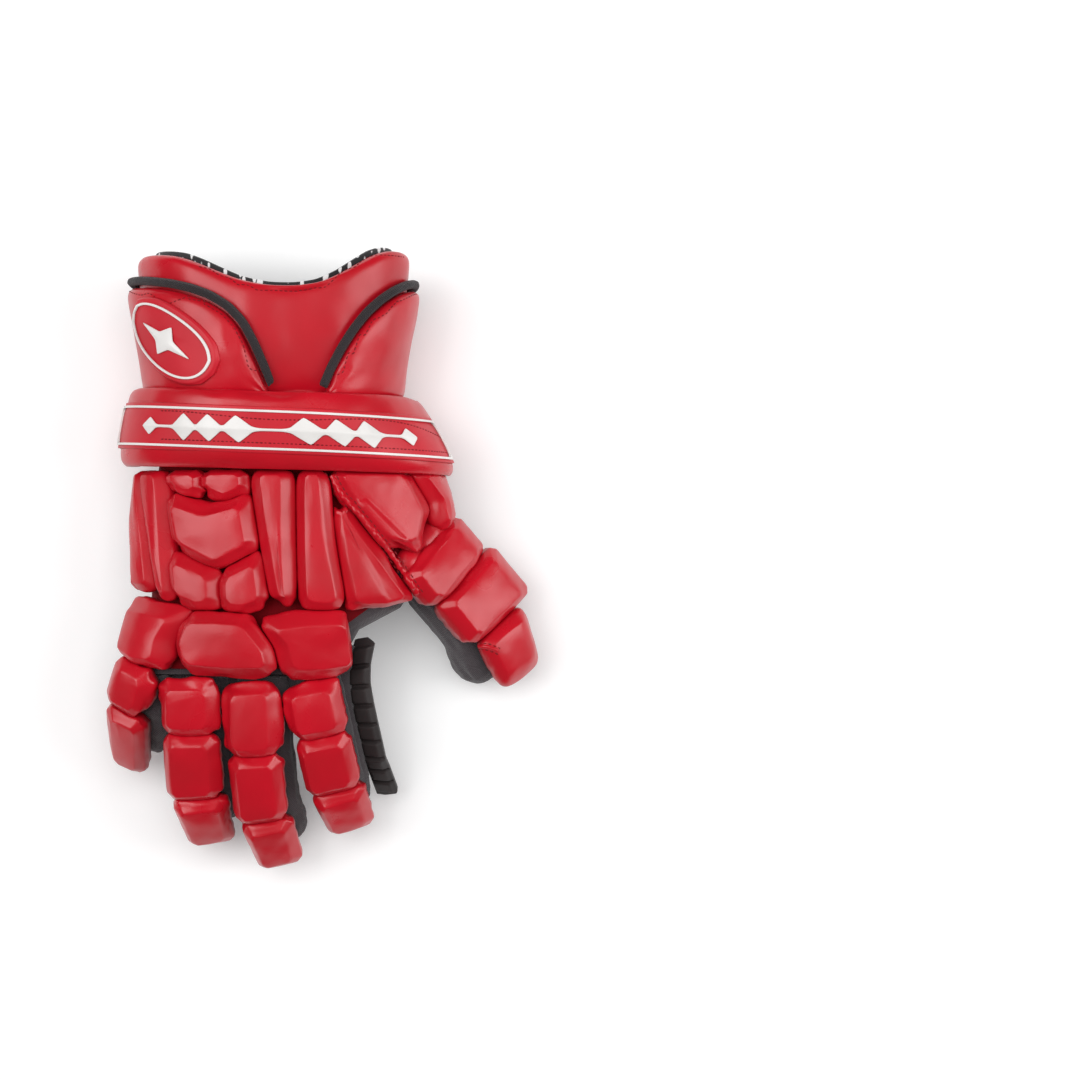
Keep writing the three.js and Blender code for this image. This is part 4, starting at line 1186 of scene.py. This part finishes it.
@dataclass
class HandCloth:
    """The mesh shell, the five stalls, the lining and the red sheet under the blocks."""

    folds: Ripple = Ripple(0.016, 0.0011, 11, ridged=True)
    creases: Ripple = Ripple(0.006, 0.00035, 12)
    sharp_angle: float = 60.0
    fold_share: float = 0.55
    cover_painted_shade: float = 0.6
    pieces: list[bpy.types.Object] = field(default_factory=list)

    def sunk(self, piece: bpy.types.Object, fold: float) -> None:
        """Presses folds into a piece, so that nothing stands out past its solid.

        Args:
            piece: the piece of cloth.
            fold: how deep, as a share of the usual depth.
        """
        points = coordinates(piece.data)
        depth = self.folds.at(points) + self.creases.at(points) + self.creases.height
        put_coordinates(piece.data, points - normals(piece.data) * (depth * fold).reshape(-1, 1))

    def build(self) -> None:
        """Builds the cloth and dresses it."""
        for node in SHELLS + STALLS:
            piece = merged_copy(node, f"cloth_{node}", Edges.CRISP, self.sharp_angle)
            divide(piece, 2, False)
            divide(piece, 1, True)
            if node in STALLS:
                self.sunk(piece, self.fold_share)
            self.pieces.append(dress(piece, BLACK_MESH, [node]))
        lining = merged_copy("cuff_lining", "cloth_cuff_lining", Edges.FIRM, self.sharp_angle)
        divide(lining, 1, False)
        divide(lining, 1, True)
        self.pieces.append(dress(lining, PRINTED_LINING, ["cuff_lining"]))
        cover = merged_copy("back_cover", "leather_back_cover", Edges.CRISP, self.sharp_angle)
        divide(cover, 2, True)
        # Painted shade: the whole sheet carries the seam attribute, so it darkens further.
        put_attribute(cover.data, "seam", np.full(len(cover.data.vertices), self.cover_painted_shade))
        self.pieces.append(dress(cover, COVER_LEATHER_PAINTED_SHADE, ["back_cover"]))


@dataclass
class FoamBlocks:
    """The leather blocks over the hand, the fingers and the thumb."""

    hand: tuple[str, ...] = (
        "top_block_outer", "top_block_inner", "chevron_pad", "lower_block_outer", "lower_block_inner",
        "back_rib_1", "back_rib_2", "web_pad", "thumb_base_pad", "knuckle_middle", "knuckle_inner",
        "outer_rib_1", "outer_rib_2", "outer_rib_3", "thumb_base_side", "knuckle_outer",
    )
    digits: tuple[str, ...] = (
        "little_block_1", "little_block_2", "ring_block_1", "ring_block_2", "ring_block_3",
        "middle_block_1", "middle_block_2", "middle_block_3", "index_block_1", "index_block_2",
        "index_block_3", "thumb_block_1", "thumb_block_2", "thumb_tip_block",
    )
    waves: Ripple = Ripple(0.034, 0.00035, 21)
    dents: Ripple = Ripple(0.011, 0.00012, 22)
    gathers: Ripple = Ripple(0.0045, 0.00038, 23, stretch=(1.0, 1.0, 0.15))
    padding: Padding = Padding(top_limit=0.0007, wall_limit=0.0003, bending=8.0)
    closing: Closing = Closing()
    sharp_angle: float = 22.0
    top_rounds: int = 40
    flat_range: Pair = (0.93, 0.985)
    top_range: Pair = (0.5, 0.9)
    plateau_range: Pair = (0.4, 0.8)
    wall_range: Pair = (0.35, 0.9)
    gather_heights: Pair = (0.007, 0.014)
    gather_depth: float = 0.6
    painted_shade_heights: Pair = (0.002, 0.0105)
    painted_shade_strength: float = 0.85
    rounds: int = 3
    most: float = 0.0013
    most_far: float = 0.0027
    loose: frozenset[str] = frozenset({
        "knuckle_middle", "knuckle_inner", "knuckle_outer", "lower_block_outer", "lower_block_inner",
        "back_rib_1", "back_rib_2", "web_pad", "ring_block_1", "middle_block_1", "index_block_1",
        "little_block_1", "thumb_block_1", "thumb_base_pad", "thumb_base_side", "top_block_outer",
        "top_block_inner", "chevron_pad",
    })
    rounded: dict[str, int] = field(default_factory=lambda: {
        "thumb_tip_block": 45, "back_rib_1": 16, "back_rib_2": 12, "outer_rib_1": 16, "outer_rib_2": 16,
        "outer_rib_3": 16, "ring_block_1": 6, "middle_block_1": 4, "index_block_1": 6,
        "little_block_1": 4, "lower_block_outer": 4, "lower_block_inner": 6, "knuckle_outer": 5,
        "knuckle_inner": 5, "knuckle_middle": 4,
    })
    plateaus: dict[str, tuple[Plateau, ...]] = field(default_factory=lambda: {
        "thumb_base_pad": (
            Plateau(((12.6, 27.2), (24.1, 32.2), (54.0, 2.0), (41.0, -5.0)), 0.0014),
        ),
        "knuckle_middle": (
            Plateau(((-36.0, -32.0), (-29.0, -32.0), (-14.5, -48.0), (-20.0, -50.5)), 0.0009),
        ),
        "web_pad": (
            Plateau(((9.5, 17.0), (14.0, 22.0), (24.0, 2.0), (40.0, -19.5), (13.0, -22.0)), 0.0009, 0.0016),
        ),
    })
    pieces: list[bpy.types.Object] = field(default_factory=list)

    def wrinkle(self, node: str, piece: bpy.types.Object, seat: BVHTree) -> None:
        """Adds the leather's unevenness, its gathers along the seam, and painted shade low on its walls near
        the seam.

        Args:
            node: the block's solid.
            piece: the block.
            seat: what it is sewn to.
        """
        height, top = over_seat(piece.data, seat)
        relax(piece.data, self.top_rounds, (0.5 * smoothstep(*self.flat_range, top)).reshape(-1, 1))
        points = coordinates(piece.data)
        wall = 1.0 - smoothstep(*self.wall_range, top)
        wall *= 1.0 - smoothstep(*self.gather_heights, height)
        move = (self.waves.at(points) + self.dents.at(points)) * smoothstep(*self.top_range, top)
        for plateau in self.plateaus.get(node, ()):
            move += plateau.at(points) * smoothstep(*self.plateau_range, top)
        move += (self.gathers.at(points) - self.gathers.height * self.gather_depth) * wall
        put_coordinates(piece.data, points + normals(piece.data) * move.reshape(-1, 1))
        # Painted shade: the walls darken from the seat up to the higher of the heights.
        painted_shade_share = 1.0 - smoothstep(*self.painted_shade_heights, height)
        put_attribute(piece.data, "seam", painted_shade_share * self.painted_shade_strength)

    def build(self) -> None:
        """Builds the blocks, fills them out and dresses them."""
        nodes = self.hand + self.digits
        seat = tree_of([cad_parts[name] for name in SHELLS + STALLS])
        for node in nodes:
            piece = merged_copy(node, f"leather_{node}", Edges.FIRM, self.sharp_angle)
            divide(piece, 2, False)
            self.pieces.append(piece)
        far = {f"leather_{node}": self.most_far if node in self.loose else self.most for node in nodes}
        close_up(self.pieces, seat, self.closing, far)
        swell(self.pieces, [seat] * len(nodes), self.padding)
        for node, piece in zip(nodes, self.pieces):
            divide(piece, 1, False)
            relax(piece.data, self.rounds + self.rounded.get(node, 0))
            self.wrinkle(node, piece, seat)
            dress(piece, RED_LEATHER, [node])


@dataclass
class Cuff:
    """The cuff's middle panel, its two flaps with their bindings, and the roll across the wrist."""

    panels: tuple[str, ...] = ("cuff_back_panel", "cuff_flap_outer", "cuff_flap_inner", "wrist_roll")
    bindings: tuple[str, ...] = ("piping_outer", "piping_inner")
    padding: Padding = Padding(top_limit=0.002, wall_limit=0.0006, pinned_below=0.0035, pressure=3.0)
    waves: Ripple = Ripple(0.045, 0.0005, 31)
    dents: Ripple = Ripple(0.016, 0.00015, 32)
    valley_x: float = -0.008
    valley_width: float = 0.017
    valley_depth: float = 0.0032
    valley_range: Pair = (0.4, 0.9)
    top_range: Pair = (0.3, 0.9)
    painted_shade_heights: Pair = (0.0, 0.004)
    painted_shade_strength: float = 0.7
    sharp_angle: float = 50.0
    binding_share: float = 0.4
    rounds_before: int = 4
    rounds_after: int = 6
    pieces: list[bpy.types.Object] = field(default_factory=list)

    def build(self) -> None:
        """Builds the cuff and dresses it."""
        lining = tree_of([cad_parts[name] for name in ("cuff_lining", "back_shell", "palm_shell")])
        panel = tree_of([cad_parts["cuff_back_panel"]])
        seats = [lining, panel, panel, lining]
        for node in self.panels:
            piece = merged_copy(node, f"leather_{node}", Edges.SOFT, self.sharp_angle)
            divide(piece, 2, False)
            relax(piece.data, self.rounds_before)
            self.pieces.append(piece)
        swell(self.pieces, seats, self.padding)
        for node, piece, seat in zip(self.panels, self.pieces, seats):
            divide(piece, 1, True)
            relax(piece.data, self.rounds_after)
            height, top = over_seat(piece.data, seat)
            points = coordinates(piece.data)
            move = (self.waves.at(points) + self.dents.at(points)) * smoothstep(*self.top_range, top)
            if node == self.panels[0]:
                across = (points[:, 0] - self.valley_x) / self.valley_width
                move -= self.valley_depth * np.exp(-across * across) * smoothstep(*self.valley_range, top)
            put_coordinates(piece.data, points + normals(piece.data) * move.reshape(-1, 1))
            # Painted shade: the panels darken next to their seat.
            painted_shade_share = 1.0 - smoothstep(*self.painted_shade_heights, height)
            put_attribute(piece.data, "seam", painted_shade_share * self.painted_shade_strength)
            dress(piece, RED_LEATHER, [node])
        for node in self.bindings:
            binding = merged_copy(node, f"binding_{node}", Edges.SOFT)
            divide(binding, 2, False)
            relax(binding.data, 2, self.binding_share)
            divide(binding, 1, True)
            self.pieces.append(dress(binding, BLACK_BINDING, [node]))


@dataclass
class Mouldings:
    """The roll's plate, the flap's patch, their white marks and the index finger's guard."""

    finishes: dict[str, Finish] = field(default_factory=lambda: {
        "roll_plate": RED_RUBBER, "plate_border": WHITE_RUBBER, "plate_motif": WHITE_RUBBER,
        "side_patch": RED_RUBBER, "patch_border": WHITE_RUBBER, "patch_motif": WHITE_RUBBER,
        "index_guard": BLACK_RUBBER,
    })
    sharp_angle: float = 26.0
    pieces: dict[str, bpy.types.Object] = field(default_factory=dict)

    def build(self) -> None:
        """Builds the mouldings and dresses them."""
        for node, finish in self.finishes.items():
            piece = merged_copy(node, f"moulding_{node}", Edges.CRISP, self.sharp_angle)
            divide(piece, 3, True)
            self.pieces[node] = dress(piece, finish, [node])


@dataclass
class Sewing:
    """What seams and gussets are made with: rows of stitches and rounded strips."""

    spacing: float = 0.0032
    stitch: float = 0.0024
    pieces: list[bpy.types.Object] = field(default_factory=list)

    def row(self, name: str, line: Points, surface: BVHTree, aside: float = 0.0, size: float = 1.0) -> None:
        """Lays one row of stitches.

        Args:
            name: the row's name.
            line: X and Y of its points, in millimetres.
            surface: what it is sewn into.
            aside: how far to the left of the line, in millimetres.
            size: the stitches' size against the usual one.
        """
        line = line[:, :2]
        ahead = np.gradient(line, axis=0)
        left = np.stack([-ahead[:, 1], ahead[:, 0]], 1)
        left /= np.linalg.norm(left, axis=1).reshape(-1, 1)
        path = dropped(line + left * aside, surface)
        values = {
            "Thread": RED_THREAD.material(),
            "Spacing": self.spacing * size,
            "Length": self.stitch * size,
        }
        stitches = grown(f"thread_{name}", path, STITCH_TREE, values)
        self.pieces.append(dress(stitches, RED_THREAD))

    def strip(self, name: str, path: Path, step: float, size: Pair, finish: Finish) -> bpy.types.Object:
        """Lays a rounded strip along a path.

        Args:
            name: the strip's name.
            path: the line that it follows.
            step: the distance between its rings, in metres.
            size: its width and its height in metres.
            finish: what it is made of.

        Returns:
            The strip.
        """
        values = {"Step": step, "Width": size[0], "Height": size[1], "Cloth": finish.material()}
        self.pieces.append(dress(grown(name, path, BINDING_TREE, values), finish))
        return self.pieces[-1]


@dataclass
class Seams(Sewing):
    """Rows of thread, and the gathered seam over the web of the thumb."""

    web: Line = (
        (5.5, 46.5), (8.5, 40.0), (12.5, 33.5), (17.0, 29.0),
        (26.0, 18.2), (35.0, 6.6), (44.0, -6.4), (51.0, -17.0),
    )
    tip: Line = ((80.0, -46.4), (83.5, -45.6), (88.5, -46.2), (93.0, -48.2))
    inset: float = 3.0
    mouth_span: Pair = (-62.0, 44.0)
    plate_span: Pair = (-82.0, 72.0)
    pinch: Ripple = Ripple(0.0035, 0.0004, 41)
    ring_step: float = 0.0008
    welt_size: Pair = (0.003, 0.0024)
    gather_size: Pair = (0.0022, 0.0018)
    web_aside: float = 2.4
    tip_aside: float = 1.7
    flap_aside: float = 5.5

    def centre_line(self, node: str, slope: float, step: float = 0.004) -> Points:
        """The middle of a long solid that runs down and to one side, as seen from above.

        Args:
            node: the solid's name.
            slope: 1 where it runs down to the right, -1 to the left.
            step: the distance between the line's points, in metres.

        Returns:
            The line's points, in millimetres.
        """
        points = coordinates(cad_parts[node].data)
        along = slope * points[:, 0] - points[:, 1]
        bins = np.floor((along - along.min()) / step).astype(int)
        return np.array([points[bins == b].mean(0) for b in np.unique(bins)]) / MM

    def edge_line(self, node: str, span: Pair, side: int, inset: float, step: float = 4.0) -> Points:
        """A smooth line just inside a solid's upper or lower edge, as seen from above.

        Args:
            node: the solid's name.
            span: from which X to which, in millimetres.
            side: 1 for the edge with the highest Y, -1 for the lowest.
            inset: how far inside the edge, in millimetres.
            step: the distance between the line's points, in millimetres.

        Returns:
            X and Y of the line's points, in millimetres.
        """
        points = coordinates(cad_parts[node].data)[:, :2] / MM
        middle = np.polyval(np.polyfit(points[:, 0], points[:, 1], deg=2), points[:, 0])
        edge = points[side * (points[:, 1] - middle) > 0]
        curve = np.polyfit(edge[:, 0], edge[:, 1], deg=4)
        x = np.arange(*span, step)
        return np.stack([x, np.polyval(curve, x) - side * inset], 1)

    def mouth_line(
        self, node: str, span: Pair, inset: float, step: float = 5.0, near: float = 6.0
    ) -> Points:
        """A line just inside the cuff's curved mouth, as seen from above.

        Args:
            node: the panel's name.
            span: from which X to which, in millimetres.
            inset: how far inside the edge, in millimetres.
            step: the distance between the line's points, in millimetres.
            near: how far to each side the edge is looked for, in millimetres.

        Returns:
            X and Y of the line's points, in millimetres.
        """
        points = coordinates(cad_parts[node].data)[:, :2] / MM
        line = []
        for x in np.arange(*span, step):
            heights = points[np.abs(points[:, 0] - x) < near, 1]
            if len(heights):
                line.append((x, heights.max() - inset))
        return np.array(line)

    def build(self, blocks: BVHTree, cuff: BVHTree, plate: BVHTree) -> None:
        """Lays the seams on the finished pieces.

        Args:
            blocks: the blocks of the hand.
            cuff: the cuff's panel and flaps.
            plate: the roll's plate.
        """
        web = dropped(self.web, blocks)
        welt = self.strip("leather_web_welt", web, self.ring_step, self.welt_size, RED_LEATHER).data
        points = coordinates(welt)
        put_coordinates(welt, points + normals(welt) * self.pinch.at(points).reshape(-1, 1))
        for name, aside in (("web_left", self.web_aside), ("web_right", -self.web_aside)):
            self.row(name, np.array(self.web), blocks, aside)
        tip = dropped(self.tip, blocks)
        self.strip("leather_tip_gather", tip, self.ring_step, self.gather_size, RED_LEATHER)
        for name, aside in (("tip_left", self.tip_aside), ("tip_right", -self.tip_aside)):
            self.row(name, np.array(self.tip), blocks, aside, 0.8)
        outer = self.centre_line("piping_outer", 1.0)
        inner = self.centre_line("piping_inner", -1.0)
        for name, line, aside in (("flap_outer", outer, -1.0), ("flap_inner", inner, 1.0)):
            self.row(name, line[1:-1], cuff, aside * self.flap_aside, 0.8)
        self.row("mouth", self.mouth_line("cuff_back_panel", self.mouth_span, self.inset), cuff, 0.0, 0.8)
        for name, side in (("plate_top", 1), ("plate_bottom", -1)):
            self.row(name, self.edge_line("plate_border", self.plate_span, side, self.inset), plate, 0.0, 0.7)


@dataclass
class Gussets(Sewing):
    """Strips that fill the side of the index finger, the forks of the fingers and the thumb's base."""

    guard_inset: float = 0.0045
    guard_step: float = 0.006
    guard_ends: Pair = (0.004, 0.006)
    guard_drop: float = 0.003
    knuckle_y: float = -0.0632
    knuckle_height: float = 0.05
    knuckle_span: Pair = (-0.078, 0.012)
    knuckle_step: float = 0.006
    thumb_gap: Line = (
        (0.068, 0.022), (0.063, 0.0205), (0.0585, 0.0155), (0.052, 0.008), (0.0465, 0.0), (0.043, -0.006),
    )
    thumb_sides: tuple[str, str] = ("thumb_base_pad", "thumb_block_1")
    thumb_near: float = 0.016
    thumb_rise: float = 0.45
    step: float = 0.002

    def guard_line(self) -> Points:
        """A line along the guard's inner edge.

        Returns:
            The line's points, in metres.
        """
        points = coordinates(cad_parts["index_guard"].data)
        start = points[:, 1].max() - self.guard_ends[0]
        stop = points[:, 1].min() + self.guard_ends[1]
        line = []
        for y in np.arange(start, stop, -self.guard_step):
            near = points[np.abs(points[:, 1] - y) < self.guard_step]
            inner = near[near[:, 0].argmin()]
            height = 0.5 * (near[:, 2].max() + inner[2]) - self.guard_drop
            line.append((inner[0] - self.guard_inset, y, height))
        smooth = np.array(line)
        for _ in range(3):
            smooth[1:-1] = 0.5 * smooth[1:-1] + 0.25 * (smooth[:-2] + smooth[2:])
        return smooth

    def knuckle_line(self) -> Points:
        """A line under the lower edge of the knuckle blocks.

        Returns:
            The line's points, in metres.
        """
        stations = np.arange(*self.knuckle_span, self.knuckle_step)
        return np.array([(x, self.knuckle_y, self.knuckle_height) for x in stations])

    def thumb_line(self) -> Points:
        """A line between the thumb's base block and its first block.

        Returns:
            The line's points, in metres.
        """
        sides = np.concatenate([coordinates(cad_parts[node].data) for node in self.thumb_sides])
        line = []
        for x, y in self.thumb_gap:
            near = sides[np.hypot(sides[:, 0] - x, sides[:, 1] - y) < self.thumb_near, 2]
            line.append((x, y, near.min() + self.thumb_rise * (near.max() - near.min())))
        return np.array(line)

    def build(self) -> None:
        """Lays the strips."""
        for name, line, size, finish in (
            ("cloth_guard_gusset", self.guard_line(), (0.0125, 0.0085), BLACK_MESH),
            ("cloth_knuckle_gusset", self.knuckle_line(), (0.012, 0.008), BLACK_MESH),
            ("leather_thumb_gusset", self.thumb_line(), (0.015, 0.011), RED_LEATHER),
        ):
            up = np.tile((0.0, 0.0, 1.0), (len(line), 1))
            self.strip(name, Path(line, up), self.step, size, finish)


@dataclass
class Studio:
    """The floor, the lights and the camera straight above."""

    middle: Pair = (0.1154, 0.0110)
    seen_width: float = 0.5749
    camera_height: float = 1.85
    focus_height: float = 0.05
    sensor_width: float = 36.0
    floor_half: float = 6.0
    floor_glow: float = 0.13
    world_strength: float = 0.24

    def add_light(
        self,
        name: str,
        place: Sequence[float],
        size: Pair,
        power: float,
        mirrored: bool = True,
    ) -> None:
        """Adds a soft box.

        Args:
            name: the light's name.
            place: where it stands, in metres. It points at the glove.
            size: its width and height in metres.
            power: its strength in watts.
            mirrored: whether it shows in reflections.
        """
        data = bpy.data.lights.new(name, "AREA")
        data.shape = "RECTANGLE"
        data.size, data.size_y = size
        data.energy = power
        light = bpy.data.objects.new(name, data)
        light.location = place
        light.rotation_euler = (-Vector(place)).to_track_quat("-Z", "Y").to_euler()
        light.visible_glossy = mirrored
        bpy.context.scene.collection.objects.link(light)

    def build(self) -> None:
        """Builds the studio."""
        self.add_floor()
        self.add_light("left box", (-1.1, 0.3, 1.7), (1.1, 1.4), 17.0)
        self.add_light("right box", (1.15, 0.1, 0.8), (0.5, 1.4), 8.5)
        self.add_light("overhead", (0.0, 0.4, 2.2), (1.6, 1.6), 22.0, mirrored=False)
        world = bpy.data.worlds.new("studio")
        world.use_nodes = True
        background = world.node_tree.nodes["Background"]
        background.inputs["Color"].default_value = (1, 1, 1, 1)
        background.inputs["Strength"].default_value = self.world_strength
        world.cycles_visibility.glossy = False
        bpy.context.scene.world = world
        self.add_camera()

    def add_floor(self) -> None:
        """Adds the floor, which glows a little so that it stays near white."""
        mesh = bpy.data.meshes.new("floor")
        half = self.floor_half
        corners = [(-half, -half, 0), (half, -half, 0), (half, half, 0), (-half, half, 0)]
        mesh.from_pydata(corners, [], [(0, 1, 2, 3)])
        floor = make_object("floor", mesh)
        floor.data.materials.append(PALE_FLOOR.material())
        surface = floor.data.materials[0].node_tree.nodes["Principled BSDF"]
        surface.inputs["Emission Color"].default_value = (1, 1, 1, 1)
        surface.inputs["Emission Strength"].default_value = self.floor_glow

    def add_camera(self) -> None:
        """Adds the camera, which looks straight down."""
        data = bpy.data.cameras.new("camera")
        data.sensor_width = self.sensor_width
        data.lens = self.sensor_width * (self.camera_height - self.focus_height) / self.seen_width
        camera = bpy.data.objects.new("camera", data)
        camera.location = (*self.middle, self.camera_height)
        bpy.context.scene.collection.objects.link(camera)
        bpy.context.scene.camera = camera
        bpy.context.scene.view_settings.view_transform = "Standard"
        log.info("studio: camera %.2f m up, lens %.1f mm", self.camera_height, data.lens)


def main() -> None:
    """Builds the glove and its studio."""
    Studio().build()
    cloth = HandCloth()
    cloth.build()
    blocks = FoamBlocks()
    blocks.build()
    cuff = Cuff()
    cuff.build()
    mouldings = Mouldings()
    mouldings.build()
    sheets = [piece for piece in cuff.pieces if piece.name.startswith("leather")]
    Seams().build(tree_of(blocks.pieces), tree_of(sheets), tree_of([mouldings.pieces["roll_plate"]]))
    Gussets().build()


if __name__ == "__main__":
    main()
